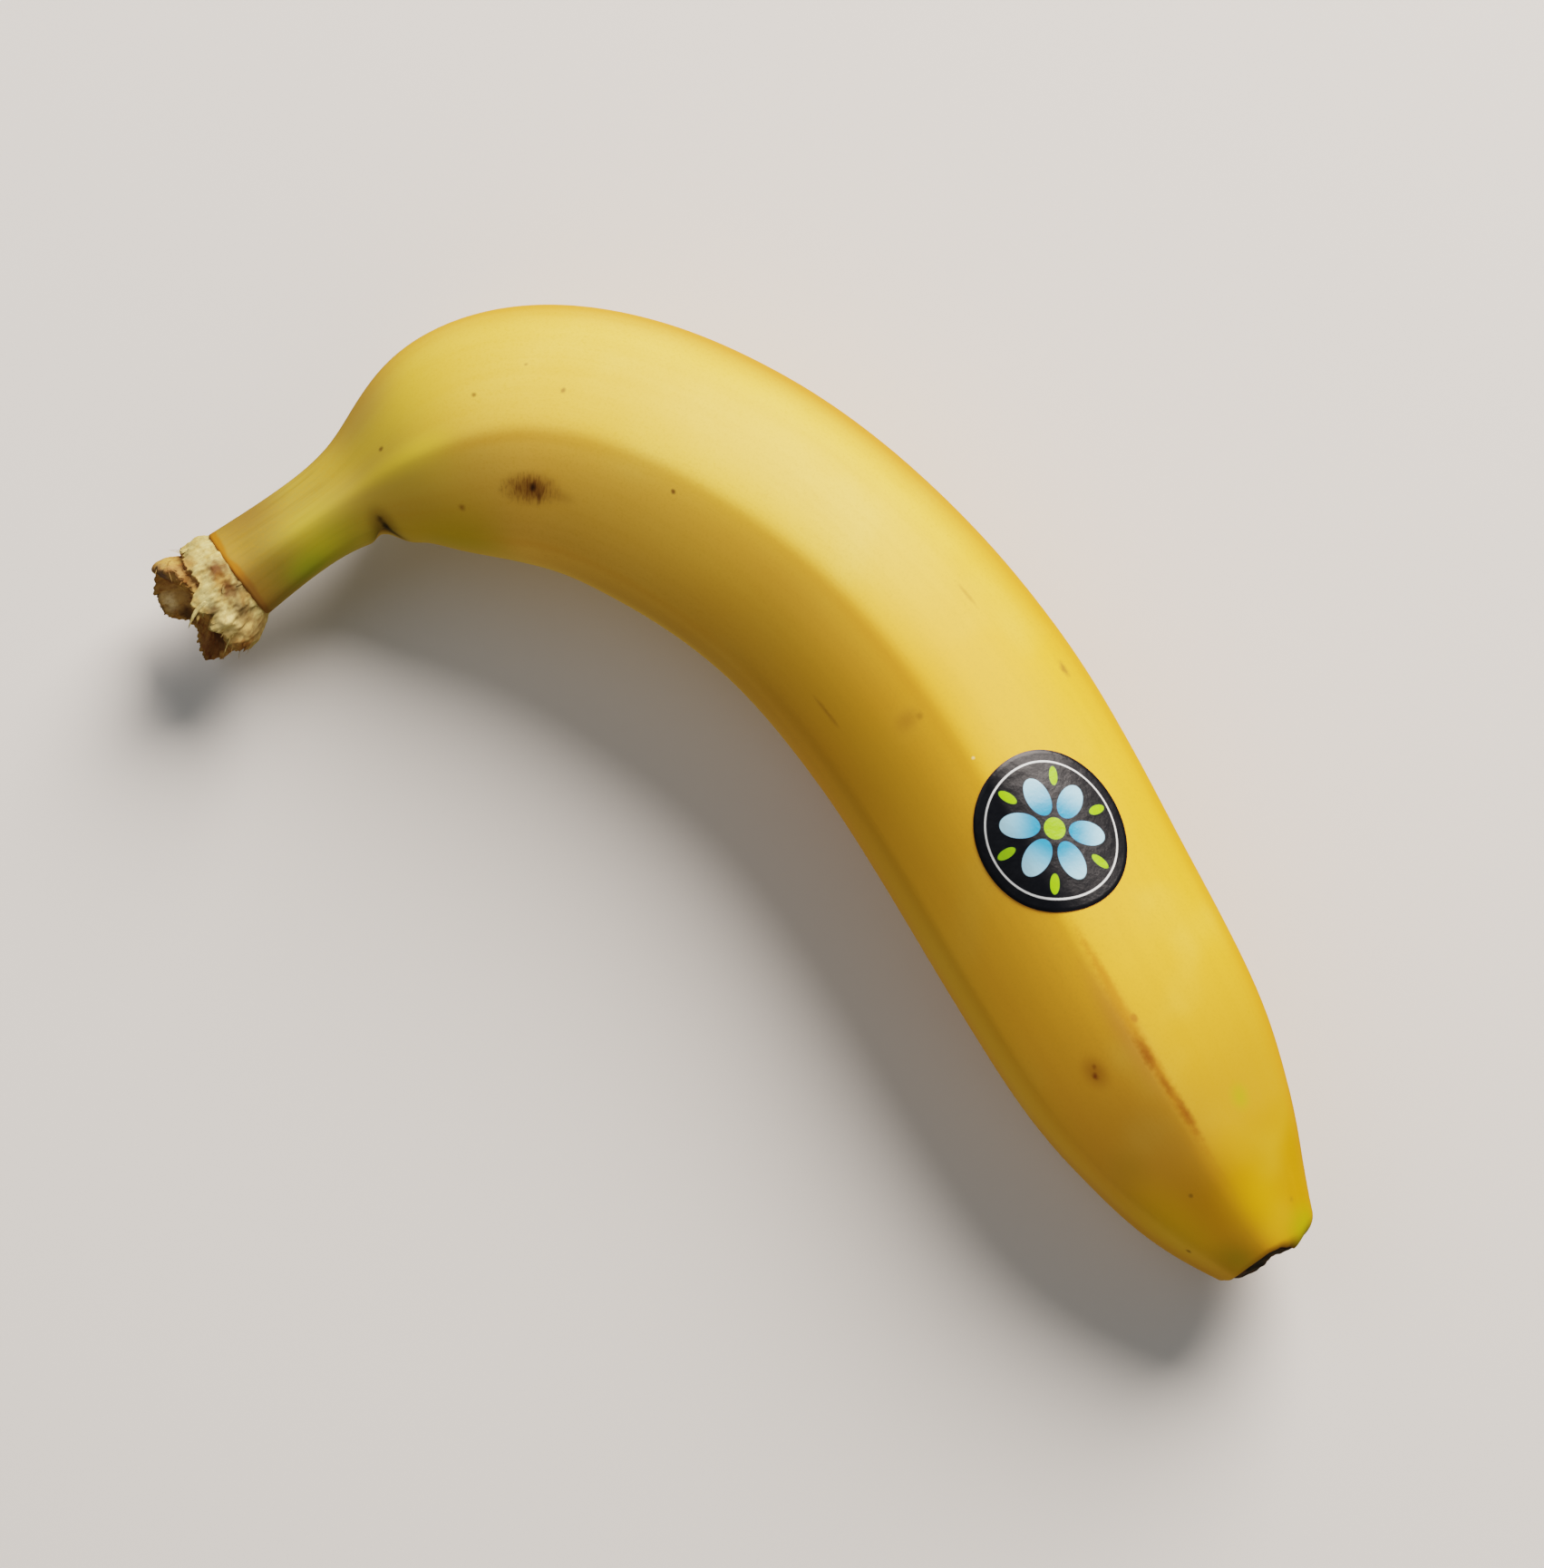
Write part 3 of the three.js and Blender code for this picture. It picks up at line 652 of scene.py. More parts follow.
def withEdges(tree, mixed, place, along, around):  # painted shade in the fold, the cut edge and the edge at the tip
    mixed = veil(tree, mixed, toneOf(tree), *skin["fold"])
    cut = skin["cutEdge"]
    ragged = times(tree, noiseOf(tree, place, *cut["noise"]), cut["width"])
    dried = less(tree, 1, fade(tree, less(tree, along, ragged), *cut["blur"]))
    offUpper = calc(tree, "ABSOLUTE", less(tree, around, cut["upperAngle"]))
    lower = fade(tree, offUpper, *cut["turnsLower"])
    brown = blend(tree, lower, colour(cut["upper"]), colour(cut["lower"]))
    mixed = blend(tree, times(tree, dried, cut["strength"]), mixed, brown)
    name, width, strength = skin["tipEdge"]
    end = tip["start"] + sum(count * rowLength for count, rowLength in tip["rows"])
    return veil(tree, mixed, along, end - width, end, strength, name)


def peelMaterial():
    material, tree, shader = newMaterial("peel")
    place, spot = objectPlace(tree), placeOf(tree)
    apart = addNode(tree, "SeparateXYZ", {0: spot})
    along, around = apart.outputs["X"], apart.outputs["Y"]
    speckle = noiseOf(tree, place, *skin["speckle"])
    mixed = baseColour(tree, place, spot, along, speckle)
    mixed = withRidgeLines(tree, mixed, along, around)
    mixed = withTintAndPaintedLight(tree, mixed)
    mixed = withMarks(tree, mixed, place, spot)
    mixed = withEdges(tree, mixed, place, along, around)

    low, high = skin["roughness"]
    light = addNode(tree, "RGBToBW", {0: mixed}).outputs[0]
    dull = less(tree, high, fade(tree, light, *skin["darkToClean"], high - low))
    speckleHeight = times(tree, speckle, skin["speckleHeight"])
    height = calc(tree, "ADD", speckleHeight, streaksOf(tree, spot, skin["fibre"]))
    setLook(tree, shader, skin, mixed, dull, height)
    return material


torn = {  # lengths in mm, angles in degrees
    "columns": 320,
    "collarRows": 40,
    "wallRows": 5,
    "sideRows": 14,
    "endRows": 40,
    # distance out of the peel, half width, shift towards the inside of the bow
    "profile": [(0, 6, 0), (1.5, 6.4, 0.2), (3.5, 6.8, 0.5), (5.5, 7.2, 0.8), (9, 7.5, 0.9)],
    # where it is wider still: distance out of the peel, angle, spread of both, added radius
    "flares": [(8.5, 8, 3.5, 42, 1.6), (3.5, 185, 3, 40, 0.7)],
    "heightShare": 0.92,
    "underPeel": -0.5,  # where the collar starts
    "collar": (0.58, 1.0, 1.25, 1.3, 1.1),  # how far it stands proud, from the peel to its ragged edge
    "collarUnevenness": 0.5,
    "crumpleStarts": 4,  # the crumpling is full after a quarter of the collar
    "ridgesEnd": 3,  # the peel's ridges run on over a third of it
    # how far out the collar reaches round the end: angle, distance out of the peel
    "collarEdge": [
        (0, 4.4), (45, 4.9), (83, 5), (94, 7.8), (106, 7), (115, 5.8), (124, 7.4), (142, 6.5), (165, 6.4),
        (188, 4.8), (208, 3), (240, 4.6), (275, 3.2), (310, 5.2), (335, 3.6)],
    "collarBase": 0.3,  # length of the step from the collar's edge down to the core
    # the torn edge round the end, in the same way
    "edge": [
        (0, 9.6), (28, 8.7), (52, 6.9), (110, 6.2), (165, 5.6), (190, 6.6), (214, 10), (240, 11.4),
        (280, 9.8), (306, 12.6), (330, 11.8), (348, 10.7)],
    "tooth": 0.9,  # seeded unevenness of both edges
    "middle": 7.3,  # how far out the middle of the face is
    # across and up as shares of the end's size, radius as a share, depth
    "hollows": [(0.55, -0.2, 0.36, 2.4), (-0.36, -0.5, 0.34, 2.2)],
    "facets": 40,  # how many seeded values run round the end
    "broad": 0.7,  # share of each value that it has in common with the one beside it
    "seed": 7,
    # crumpled flesh: size of the lumps, height
    "lumps": [(3, 0.42), (1.3, 0.2), (0.6, 0.08)],
    "grain": (0.5, 3.5, 0.24, 9.1),  # fibres along the stem: width, length, height, place in the noise
    # fine raggedness of the edges: width in degrees, height, place in the noise
    "frays": [(5, 0.49, 0), (1.6, 0.35, 5)],
    "fraySeeds": (2, 7),  # of the collar's edge and of the torn edge
    "endRoughness": 1.3,  # crumpling of the end beside that of the sides
    "edgePower": 6,  # how fast the sides' crumpling fades in from the torn edge
    # tones, from pale to dark: of the collar, of the step down from it, of the sides and of the end
    "collarTones": (0.12, 0.22),
    "wallTones": (0.25, 0.6),
    "sideTone": 0.55,
    "endTone": 0.5,
    "hollowShade": 0.1,  # painted shade: tone added for each mm of depth in the end's hollows
    # how far a soft tint reaches past its radius, and size and height of its wandering edge
    "tintReach": 1.25,
    "tintWander": (1.3, 0.35),
    # soft tints: out of the peel, across, up, radius, colour, strength; some are painted light and some
    # painted shade, as noted beside them
    "tints": [
        (1.7, 0.5, 7.1, 1.9, "#5a2c04", 0.92), (2.0, -1.5, 6.8, 1.8, "#96682c", 0.7),
        (2.0, -3.1, 6.3, 2.0, "#4e2a08", 0.8), (2.5, -6.1, 5.0, 2.4, "#402a0c", 0.82),
        (4.1, -8.0, 3.6, 3, "#bc9a62", 0.6), (2.1, -8.3, 0.9, 3, "#846840", 0.7),
        # painted shade: (5.5, -3.9, 7.1, ...) paints a dark notch that the shape doesn't have
        (0.6, -4.6, 5.4, 1.6, "#8a5e22", 0.6), (5.5, -3.9, 7.1, 1.3, "#52381a", 0.85),
        # painted light: (5.3, -6.6, 6.2, ...) lightens a shaded dip
        (5.3, -6.6, 6.2, 2.4, "#e8d090", 0.8), (5.4, -2.6, 7.6, 1.2, "#d8cc90", 0.6),
        (5.5, 3.8, 6.2, 2.2, "#be8c50", 0.8), (6.9, 4.5, 5.6, 2.2, "#a47a4c", 0.7),
        # painted light: (8.3, 3.7, -2.7, ...) lightens a shaded hollow in the end
        (5.2, 1.0, 6.8, 1.5, "#d8ab68", 0.6), (8.3, 3.7, -2.7, 2.8, "#c89e5e", 0.85),
        # painted light: (10.7, 4.1, -4.1, ...) lightens the same hollow further in
        (10.7, 4.1, -4.1, 1.7, "#f8d8a0", 0.85), (9.6, 0.7, -4.0, 1.8, "#3c200a", 0.8),
        (8.9, 5.6, 3.4, 1.9, "#66524a", 0.85), (7.5, -4.9, -1.8, 2.4, "#4e2c12", 0.85),
        (9.4, -5.6, -4.0, 2.2, "#6a3c14", 0.75), (10.1, -3.5, -5.6, 1.7, "#9a6c44", 0.6),
        (5.7, -9.5, 1.6, 2.4, "#945b1e", 0.7)],
    "blotches": (600, 4, 0.6),  # size, detail and roughness of the noise
    "blotchShows": (0.35, 0.75, 0.3),  # from, to, added tone
    "paler": 0.08,
    "ramp": [(0.0, "#ccbd82"), (0.25, "#bda86c"), (0.5, "#bb9150"), (0.75, "#8a5526"), (1.0, "#3a2414")],
    # of each noise: size or sizes, detail, roughness, and from, to, strength, colour
    "strands": ((2, 80, 1), 3, 0.6),
    "strandShows": (0.42, 0.7, 0.4, "#b08a48"),
    "darkFibres": ((5, 60, 1), 4, 0.7),
    "darkFibreShows": (0.46, 0.7, 0.45, "#a88a6a"),
    "speckle": (2600, 3, 0.6),
    "speckleShows": (0.45, 0.75, 0.25, "#b29472"),
    "speckleHeight": 0.4,  # beside the strands
    "bump": (0.22, 0.5),
    "roughness": 0.8,
    "specular": 0.25,
}

shreds = {  # loose bundles that stand off the collar, each of a few strands
    # angle, distance out where they leave, length, width, rise for each mm, bend in degrees
    "places": [
        (96, 4.6, 4.4, 1.6, 0.04, 16), (60, 1.6, 3.4, 2.4, 0.2, -14), (128, 2.6, 4.6, 3, 0.16, -6),
        (164, 1.4, 4.8, 3.4, 0.22, 8), (196, 0.8, 4.2, 3, 0.3, 14), (232, 1.2, 4.6, 3.2, 0.26, -12),
        (262, 0.8, 3.8, 3, 0.3, 10), (292, 1.4, 4.6, 3.4, 0.24, -10), (322, 1, 4, 3, 0.3, 14),
        (350, 1.6, 3.6, 2.6, 0.26, -10), (20, 1.2, 3.8, 3, 0.26, 12)],
    "seed": 21,
    "strands": 5,
    "sunk": 1.0,
    "rows": 9,
    "reach": (0.6, 1),  # shares of the length
    "curl": 0.5,
    "gather": 0.6,  # how wide the bundle is at its tips
    "strandWidth": (0.7, 1.2),
    "strandThickness": (0.3, 0.5),
    "tipWidthShare": 0.35,
    "tones": (0.08, 0.28),
    # single strands: angle, distance out, length, width, lift, rise, bend in degrees
    "loose": [
        (100, 5.4, 4.6, 0.9, 1.1, -0.06, 12), (101.5, 1.9, 1.3, 0.5, 1.1, 0.35, 6),
        (112, 0.1, 0.9, 0.8, 0.8, 0.5, 0)],
    "looseThickness": 0.5,  # share of the width
    "looseTone": 0.02,
}

fibres = {  # single fine fibres
    "seed": 5,
    # by the edge they root inside: how many, where, length, rise for each mm, tones, lift of the root
    "groups": {
        "collarEdge": (34, (2.5, 6.5), (1.0, 2.4), (0.05, 0.3), (0.05, 0.3), 1.0),
        "edge": (46, (6.2, 10.5), (0.5, 1.3), (-0.15, 0.3), (0.3, 0.7), -0.05),
    },
    "insideEdge": 0.5,
    "width": (0.12, 0.28),
    "taper": 0.6,
    "thickness": 0.6,  # share of the width
    "lean": 26,
    "sway": (0.25, 3),  # height, turns in radians
    "rows": 6,
}


def randomFrom(seed):
    state = seed
    while True:
        state = state * 16807 % 2147483647
        yield state / 2147483647


def raggedValues(draw):  # alike two by two, so that tears are a few mm wide
    broad = [next(draw) for _ in range((torn["facets"] + 1) // 2)]
    return [mix(next(draw), broad[k // 2], torn["broad"]) for k in range(torn["facets"])]


def valueAt(values, angle):  # of seeded values spread evenly over the faces
    face, share, _ = faceAt(angle - ringAt(0.0).turn)
    position = (face + share) * torn["facets"] / len(fruit["ridges"])
    k = int(position) % len(values)
    return mix(values[k], values[(k + 1) % len(values)], ease(position - int(position)))


def coreAt(outwards):
    profile = torn["profile"]
    k = 0
    while k < len(profile) - 2 and profile[k + 1][0] < outwards:
        k += 1
    (fromOut, fromHalf, fromShift), (toOut, toHalf, toShift) = profile[k], profile[k + 1]
    share = min(max((outwards - fromOut) / (toOut - fromOut), 0), 1)
    return mix(fromHalf, toHalf, share), mix(fromShift, toShift, share)


def flareAt(outwards, angle):
    return sum(
        added * bell(outwards - distance, spreadOut) * bell(offAngle(angle, middle), spreadRound)
        for distance, middle, spreadOut, spreadRound, added in torn["flares"])


def stemPoint(outwards, across, up):
    ring = ringAt(0.0)
    return ring.centre - ring.along * outwards + ring.out * across + ring.up * up


def stemPlace(point):  # the same three numbers for a point
    ring = ringAt(0.0)
    offset = point - ring.centre
    return Vector((-offset.dot(ring.along), offset.dot(ring.out), offset.dot(ring.up)))


def corePoint(outwards, angle, lift=0.0, size=1.0):
    half, shift = coreAt(outwards)
    radius = (half + flareAt(outwards, angle) + lift) * size
    cos, sin = spokeOf(angle)
    return stemPoint(outwards, radius * cos - shift, torn["heightShare"] * radius * sin)


def crumpleAt(outwards, angle, size=1.0):  # height of the torn flesh over its plain shape
    half = coreAt(outwards)[0] * size
    cos, sin = spokeOf(angle)
    place = Vector((half * cos, half * sin, outwards))
    height = sum(high * noise.noise(place / wide) for wide, high in torn["lumps"])
    width, length, high, layer = torn["grain"]
    place = Vector((half * angle * degree / width, outwards / length, layer))
    return height + high * size * noise.noise(place)


def frayAt(angle, seed):
    return sum(
        high * noise.noise(Vector((angle / wide, seed, layer))) for wide, high, layer in torn["frays"])


def tornEdges():  # seeded unevenness of the collar's edge, its fibres and the torn edge
    draw = randomFrom(torn["seed"])
    collar = raggedValues(draw)
    fibre = [1 + torn["collarUnevenness"] * (next(draw) - 0.5) for _ in range(torn["facets"])]
    return collar, fibre, raggedValues(draw)


def edgeAt(stops, values, angle, seed):
    return roundTheEnd(stops, angle) + torn["tooth"] * (valueAt(values, angle) - 0.5) + frayAt(angle, seed)


def hollowAt(across, up):
    return max(
        depth * bell(math.hypot(across - x, up - y), radius) for x, y, radius, depth in torn["hollows"])


def addTornFlesh(bm):
    collarValues, fibre, edgeValues = tornEdges()
    rows = [("collar", k / torn["collarRows"]) for k in range(torn["collarRows"] + 1)]
    rows += [("wall", k / torn["wallRows"]) for k in range(1, torn["wallRows"])]
    rows += [("side", k / torn["sideRows"]) for k in range(torn["sideRows"] + 1)]
    rows += [("end", 1 - k / torn["endRows"]) for k in range(1, torn["endRows"] + 1)]
    last = len(torn["collar"]) - 1
    collarSeed, edgeSeed = torn["fraySeeds"]
    root = ringAt(0.0)

    def placeAt(row, share):
        angle = 360 * share % 360
        kind, way = rows[row]
        collarEdge = edgeAt(torn["collarEdge"], collarValues, angle, collarSeed)
        tornEdge = edgeAt(torn["edge"], edgeValues, angle, edgeSeed)
        if kind == "collar":
            outwards = mix(torn["underPeel"], collarEdge, way)
            k = min(int(way * last), last - 1)
            lift = mix(torn["collar"][k], torn["collar"][k + 1], way * last - k) * valueAt(fibre, angle)
            lift += crumpleAt(outwards, angle) * min(1, torn["crumpleStarts"] * way)
            ridge = coreAt(0)[0] * (ridgeShare(angle - root.turn, root) - 1)
            lift += ridge * max(1 - torn["ridgesEnd"] * way, 0)
            return corePoint(outwards, angle, lift), mix(*torn["collarTones"], way), (way, share)
        if kind == "wall":
            outwards = collarEdge + torn["collarBase"] * math.sin(math.pi / 2 * way)
            lift = torn["collar"][-1] * valueAt(fibre, angle) * (1 - way)
            point = corePoint(outwards, angle, lift + crumpleAt(outwards, angle))
            return point, mix(*torn["wallTones"], way), (1 + way, share)
        if kind == "side":
            outwards = mix(collarEdge + torn["collarBase"], tornEdge, way)
            lift = crumpleAt(outwards, angle)
            return corePoint(outwards, angle, lift), torn["sideTone"], (2 + way, share)
        cos, sin = spokeOf(angle)
        deep = hollowAt(way * cos, way * sin)
        rough = torn["endRoughness"] * crumpleAt(torn["middle"], angle, way)
        outwards = mix(torn["middle"], tornEdge, way) - deep + rough
        lift = crumpleAt(tornEdge, angle) * way ** torn["edgePower"]
        # the end's tone, with painted shade that deepens in the hollows
        tone = torn["endTone"] + torn["hollowShade"] * deep
        return corePoint(outwards, angle, lift, way), tone, (4 - way, share)

    wrapSheet(bm, len(rows) - 1, torn["columns"], placeAt)


strand = {  # what all strands share
    "columns": 8,
    "thinFrom": 0.25,  # half width in mm under which a strand grows thinner too
    "crumpled": 0.5,  # share of the flesh's crumpling that it follows
}


def addStrand(bm, path, halves, thickness, tone):  # a flat strand; path: points, outward directions
    last = len(path) - 1

    def placeAt(row, share):
        point, outward = path[row]
        along = (path[min(row + 1, last)][0] - path[max(row - 1, 0)][0]).normalized()
        side = along.cross(outward).normalized()
        turn = 2 * math.pi * share
        thick = 0.5 * thickness * min(1, halves[row] / strand["thinFrom"])
        move = side * (halves[row] * math.cos(turn)) + side.cross(along) * (thick * math.sin(turn))
        return point + move, tone, (5 + row / last, share)

    wrapSheet(bm, last, strand["columns"], placeAt)


def outwardAt(angle):
    ring = ringAt(0.0)
    cos, sin = spokeOf(angle)
    return (ring.out * cos + ring.up * sin).normalized()


def between(limits, draw):
    return mix(*limits, next(draw))


def strandPath(root, length, angleAt, liftAt, widthAt, rows):  # points and half widths along a strand
    path, halves = [], []
    for step in range(rows):
        share = step / (rows - 1)
        angle, outwards = angleAt(share), root + length * share
        lift = liftAt(share) + strand["crumpled"] * crumpleAt(outwards, angle)
        path.append((corePoint(outwards, angle, lift), outwardAt(angle)))
        halves.append(0.5 * widthAt(share) * (0.0 if step in (0, rows - 1) else 1))
    return path, halves


def addShreds(bm):
    draw = randomFrom(shreds["seed"])
    base = max(torn["collar"]) - shreds["sunk"]
    for middle, root, length, width, rise, bend in shreds["places"]:
        for k in range(shreds["strands"]):
            place = (k + 0.5) / shreds["strands"] - 0.5
            reach = length * between(shreds["reach"], draw)
            wide, thickness = between(shreds["strandWidth"], draw), between(shreds["strandThickness"], draw)
            curl = (next(draw) - 0.5) * shreds["curl"]
            spread = place * max(width - wide, 0) / coreAt(root)[0] / degree
            path, halves = strandPath(
                root, reach,
                lambda share: middle + bend * share**2 + spread * mix(1, shreds["gather"], share**2),
                lambda share: base + rise * reach * share + curl * share**2,
                lambda share: wide * mix(1, shreds["tipWidthShare"], share**2), shreds["rows"])
            addStrand(bm, path, halves, thickness, between(shreds["tones"], draw))
    for angle, root, length, wide, lift, rise, bend in shreds["loose"]:
        path, halves = strandPath(
            root, length, lambda share: angle + bend * share**2, lambda share: lift + rise * length * share,
            lambda share: wide * (1 - share**2), shreds["rows"])
        addStrand(bm, path, halves, shreds["looseThickness"] * wide, shreds["looseTone"])


def addFibres(bm):
    draw = randomFrom(fibres["seed"])
    sway, turns = fibres["sway"]
    for edge, (count, rootOut, lengths, rises, tones, base) in fibres["groups"].items():
        for _ in range(count):
            start, root = 360 * next(draw), between(rootOut, draw)
            length, rise = between(lengths, draw), between(rises, draw)
            lean = (next(draw) - 0.5) * 2 * fibres["lean"]
            wide, tone = between(fibres["width"], draw), between(tones, draw)
            root = min(root, roundTheEnd(torn[edge], start) - fibres["insideEdge"])
            path, halves = strandPath(
                root, length, lambda share: start + lean * share,
                lambda share: base + rise * length * share + sway * math.sin(turns * share + start),
                lambda share: wide * (1 - fibres["taper"] * share), fibres["rows"])
            addStrand(bm, path, halves, fibres["thickness"] * wide, tone)


def fleshTint(place):  # colour of the soft tints at a place, painted light and shade among them, and how much they cover
    size, high = torn["tintWander"]
    reach = torn["tintReach"] - high * noise.noise(place * size)
    layers = []
    for out, across, up, radius, name, strength in torn["tints"]:
        share = reach - (place - Vector((out, across, up))).length / radius
        if share > 0:
            layers.append((strength * ease(min(share, 1)), name))
    return layOver(layers)


def makeTornEnd(material):
    bm = bmesh.new()
    addTornFlesh(bm)
    addShreds(bm)
    addFibres(bm)
    tintAndPaintedLightLayer = bm.verts.layers.float_color.new("tintAndPaintedLight")
    for vert in bm.verts:
        vert[tintAndPaintedLightLayer] = fleshTint(stemPlace(vert.co / mm))
    makePiece("torn_end", bm, material, "banana")


def tornMaterial():
    material, tree, shader = newMaterial("torn_flesh")
    place, flat = objectPlace(tree), mapPlace(tree)
    blotches = fade(tree, noiseOf(tree, place, *torn["blotches"]), *torn["blotchShows"])
    tone = less(tree, calc(tree, "ADD", toneOf(tree), blotches), torn["paler"])
    mixed = rampOf(tree, tone, torn["ramp"])
    strands = streaksOf(tree, flat, *torn["strands"])
    mixed = withTintAndPaintedLight(tree, veil(tree, mixed, strands, *torn["strandShows"]))
    darkFibres = streaksOf(tree, flat, *torn["darkFibres"])
    mixed = veil(tree, mixed, darkFibres, *torn["darkFibreShows"], "MULTIPLY")
    speckle = noiseOf(tree, place, *torn["speckle"])
    mixed = veil(tree, mixed, speckle, *torn["speckleShows"], "MULTIPLY")
    height = calc(tree, "ADD", times(tree, speckle, torn["speckleHeight"]), strands)
    setLook(tree, shader, torn, mixed, torn["roughness"], height)
    return material


blossom = {  # the dried blossom end
    "columns": 120,
    # shares of the rim's inner size and heights over it
    "rows": [
        (0.99, -0.8), (0.98, -0.4), (0.95, -0.1), (0.91, 0.12), (0.86, 0.32), (0.78, 0.5), (0.69, 0.65),
        (0.58, 0.8), (0.46, 0.88), (0.36, 0.85), (0.28, 0.7), (0.2, 0.55), (0.12, 0.45), (0.05, 0.4),
        (0, 0.4)],
    "unevenness": 0.3,
    "waves": (2.2, 3),  # of the unevenness, round and inwards
    "folds": 11,
    "foldDepth": 0.14,
    "foldWander": 3,
    "calmMiddle": 3,  # uneven and folded from a third of the size on
    "colours": ("#1d130e", "#4a2a1a"),
    "spots": (900, 4, 0.4, 0.7),  # size and detail of the noise, from, to
    "roughness": 0.85,
    "specular": 0.5,
    "grain": (1800, 4),
    "bump": (0.2, 0.6),
}


def makeBlossomEnd(material):
    def placeAt(row, share):
        size, over = blossom["rows"][row]
        angle = 360 * share
        cos, sin = spokeOf(angle)
        wide, inwards = blossom["waves"]
        wave = noise.noise(Vector((cos * wide, sin * wide, size * inwards)))
        fold = math.sin(blossom["folds"] * angle * degree + blossom["foldWander"] * wave) * size
        height = blossom["unevenness"] * wave + blossom["foldDepth"] * fold
        over += height * min(1, blossom["calmMiddle"] * size)
        return endPoint(angle, size, over), 0.5 + 0.5 * wave, (size, share)

    bm = bmesh.new()
    wrapSheet(bm, len(blossom["rows"]) - 1, blossom["columns"], placeAt)
    makePiece("blossom_end", bm, material, "banana")


def blossomMaterial():
    material, tree, shader = newMaterial("dried_blossom")
    place = objectPlace(tree)
    dark, brown = blossom["colours"]
    size, detail, low, high = blossom["spots"]
    spots = fade(tree, noiseOf(tree, place, size, detail), low, high)
    mixed = blend(tree, spots, colour(dark), colour(brown))
    setLook(tree, shader, blossom, mixed, blossom["roughness"], noiseOf(tree, place, *blossom["grain"]))
    return material


label = {  # lengths in mm, angles in degrees
    "diameter": 22,
    "thickness": 0.12,
    "lift": 0.03,
    "at": 145.4,
    "around": 82.7,
    "columns": 144,
    "topRows": 20,
    "edgeRows": 4,
    "underRows": 6,
    "black": "#0b0e14",
    "blues": ("#2f8fc6", "#a5d6ee"),  # a petal, from the middle outwards
    "green": "#8fc41c",
    "pale": "#d8dfe2",
    "soft": 0.1,  # mm over which the print's edges blend
    # petals, leaves: how many, where they start in degrees, middle and half length outwards, half width
    "petals": (6, 0, 4.7, 2.7, 1.7),
    "leaves": (6, 30, 7.4, 1.35, 0.62),
    "centre": 1.5,
    "ring": (9.35, 0.14),  # radius, half width
    "roughness": 0.32,
    "specular": 0.3,
    "ripples": (420, 3, 0.6),  # size, detail and roughness of the noise
    "bump": (0.25, 0.35),
}


def labelRows():  # share of the radius and of the thickness for each row, from the middle of the top
    rows = [(k / label["topRows"], 1.0) for k in range(label["topRows"])]
    for k in range(label["edgeRows"] + 1):
        turn = math.pi * k / label["edgeRows"]
        bulge = 0.5 * label["thickness"] / label["diameter"] * math.sin(turn)
        rows.append((1 + bulge, 0.5 + 0.5 * math.cos(turn)))
    rows += [(1 - k / label["underRows"], 0.0) for k in range(1, label["underRows"] + 1)]
    return rows


def makeLabel(material):
    rows = labelRows()

    def placeAt(row, share):
        size, height = rows[row]
        radius, spoke = 0.5 * label["diameter"] * size, 2 * math.pi * share
        ring = ringAt(round(label["at"] + radius * math.cos(spoke), 6))
        angle = label["around"] + radius * math.sin(spoke) / ring.half / degree
        point = skinPoint(ring.distance, angle, label["lift"] + label["thickness"] * height)
        return point, height, (0.5 + 0.5 * size * math.cos(spoke), 0.5 + 0.5 * size * math.sin(spoke))

    bm = bmesh.new()
    wrapSheet(bm, len(rows) - 1, label["columns"], placeAt)
    makePiece("label_film", bm, material, "label")


def printOf(tree, inside):  # from mm inside an outline to how much ink there is
    return fade(tree, inside, -label["soft"] / 2, label["soft"] / 2)


def petalsOf(tree, radius, spoke, count, start, middle, halfLength, halfWidth):  # ink of a ring of petals
    turn = 2 * math.pi / count
    folded = calc(tree, "PINGPONG", less(tree, spoke, start * degree), turn / 2)
    beside = calc(tree, "DIVIDE", times(tree, radius, calc(tree, "SINE", folded)), halfWidth)
    out = less(tree, times(tree, radius, calc(tree, "COSINE", folded)), middle)
    out = calc(tree, "DIVIDE", out, halfLength)
    square = calc(tree, "ADD", times(tree, out, out), times(tree, beside, beside))
    inside = times(tree, less(tree, 1, calc(tree, "SQRT", square)), halfWidth)
    return printOf(tree, inside), out


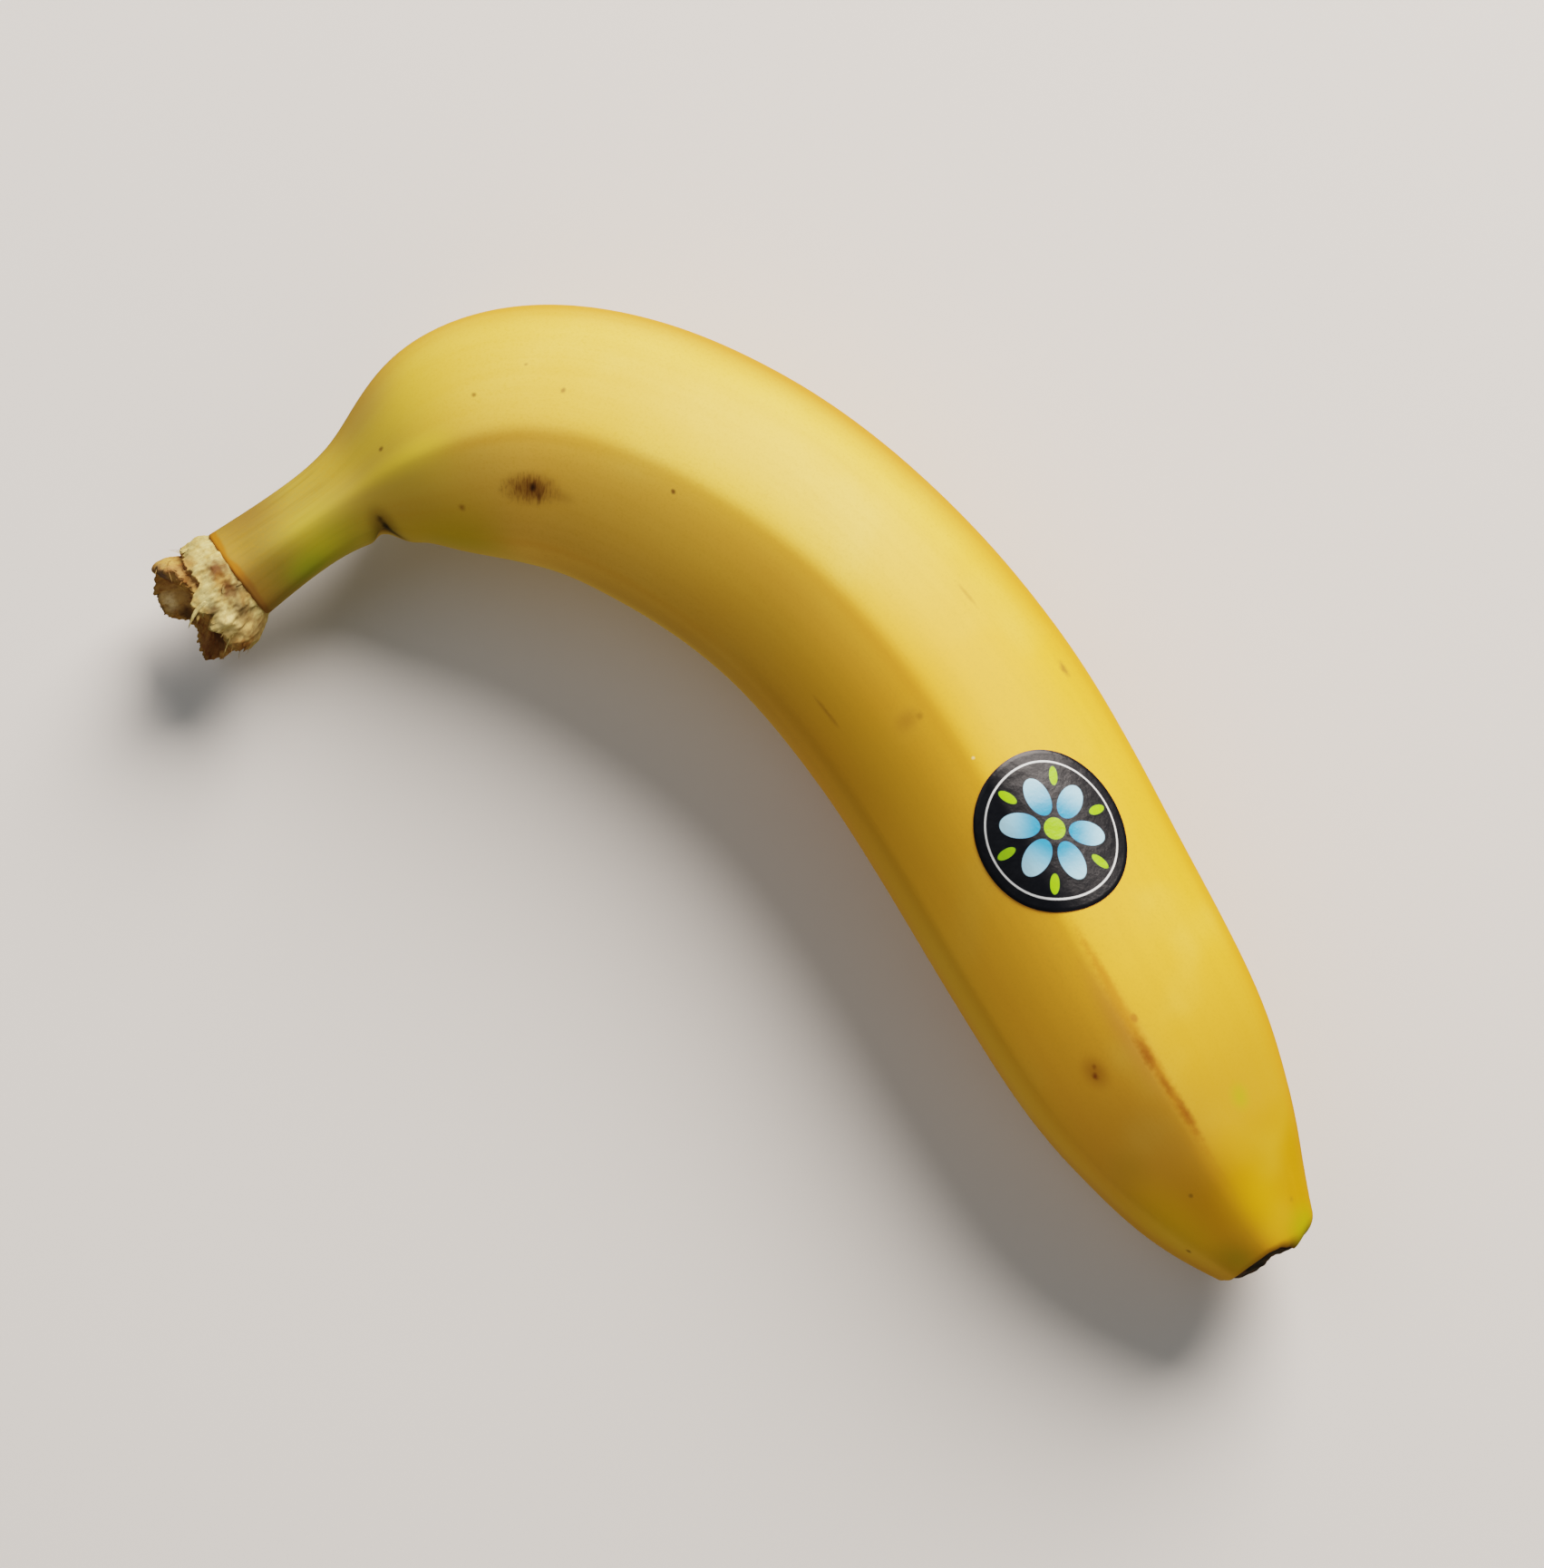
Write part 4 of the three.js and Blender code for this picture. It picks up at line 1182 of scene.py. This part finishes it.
def labelMaterial():
    material, tree, shader = newMaterial("label_film")
    size = label["diameter"]
    inputs = {"Vector": mapPlace(tree), "Scale": (size, size, 0), "Location": (-size / 2, -size / 2, 0)}
    flat = addNode(tree, "Mapping", inputs).outputs[0]
    apart = addNode(tree, "SeparateXYZ", {0: flat})
    spoke = calc(tree, "ARCTAN2", apart.outputs["Y"], apart.outputs["X"])
    radius = addNode(tree, "VectorMath", {0: flat}, operation="LENGTH").outputs["Value"]
    green = colour(label["green"])
    ink, out = petalsOf(tree, radius, spoke, *label["petals"])
    inner, outer = label["blues"]
    blue = blend(tree, fade(tree, out, -1, 1), colour(inner), colour(outer))
    mixed = blend(tree, ink, colour(label["black"]), blue)
    ink, _ = petalsOf(tree, radius, spoke, *label["leaves"])
    mixed = blend(tree, ink, mixed, green)
    mixed = blend(tree, printOf(tree, less(tree, label["centre"], radius)), mixed, green)
    middle, halfWidth = label["ring"]
    aside = calc(tree, "ABSOLUTE", less(tree, radius, middle))
    mixed = blend(tree, printOf(tree, less(tree, halfWidth, aside)), mixed, colour(label["pale"]))
    ripples = noiseOf(tree, objectPlace(tree), *label["ripples"])
    setLook(tree, shader, label, mixed, label["roughness"], ripples)
    return material


studio = {
    "floorSize": 60.0,  # metres
    "floorColour": "#d9d8d4",
    "floorRoughness": 0.9,
    "floorDrop": 0.05,  # mm under the fruit
    # what the sky above and the ground below throw on the fruit
    "above": (0.08, 0.085, 0.09, 1),
    "below": (0.195, 0.19, 0.09, 1),
    "horizon": 0.3,  # how far up and down the two blend
    "lampsAimAt": (0, 0, 20),  # mm
    # azimuth and elevation seen from the fruit in degrees, distance and size in metres, power in W
    "lamps": {
        "key": (186, 36, 1.6, 1.3, 65, "#fff2ea"),
        "side": (285, 48, 1.6, 1.4, 3.5, "#f4f7ff"),
        "fill": (55, 34, 1.6, 1.4, 3.8, "#fff6e8"),
        "bounce": (30, -20, 0.26, 0.15, 0.055, "#ffeac0"),
    },
    "view": "Filmic",
    "look": "Medium High Contrast",
}


def makeFloor():
    bm = bmesh.new()
    bmesh.ops.create_grid(bm, x_segments=1, y_segments=1, size=studio["floorSize"] / 2)
    bmesh.ops.translate(bm, verts=bm.verts, vec=(0, 0, -studio["floorDrop"] * mm))
    material, tree, shader = newMaterial("floor")
    feed(tree, shader, {"Base Color": colour(studio["floorColour"]), "Roughness": studio["floorRoughness"]})
    floor = objectFrom("floor", bm, material)
    # the pale floor throws no light up at the fruit, as dark ground wouldn't
    floor.visible_diffuse = False
    floor.visible_glossy = False
    floor.visible_shadow = False


def lightTheScene():
    world = bpy.data.worlds.new("studio")
    world.use_nodes = True
    tree = world.node_tree
    direction = addNode(tree, "TexCoord", {}).outputs["Generated"]
    height = addNode(tree, "SeparateXYZ", {0: direction}).outputs["Z"]
    above = fade(tree, height, -studio["horizon"], studio["horizon"])
    around = blend(tree, above, studio["below"], studio["above"])
    tree.links.new(around, tree.nodes["Background"].inputs["Color"])
    bpy.context.scene.world = world
    for name, (azimuth, elevation, distance, size, power, tint) in studio["lamps"].items():
        lamp = bpy.data.lights.new(name, "AREA")
        lamp.shape = "DISK"
        lamp.size = size
        lamp.energy = power
        lamp.color = colour(tint)[:3]
        thing = bpy.data.objects.new(name, lamp)
        standAt(thing, studio["lampsAimAt"], azimuth, elevation, distance / mm)
    view = bpy.context.scene.view_settings
    view.view_transform = studio["view"]
    view.look = studio["look"]
    print(f"light: {len(studio['lamps'])} lamps")


placeCamera()
makePeel(peelMaterial())
makeTornEnd(tornMaterial())
makeBlossomEnd(blossomMaterial())
makeLabel(labelMaterial())
makeFloor()
lightTheScene()
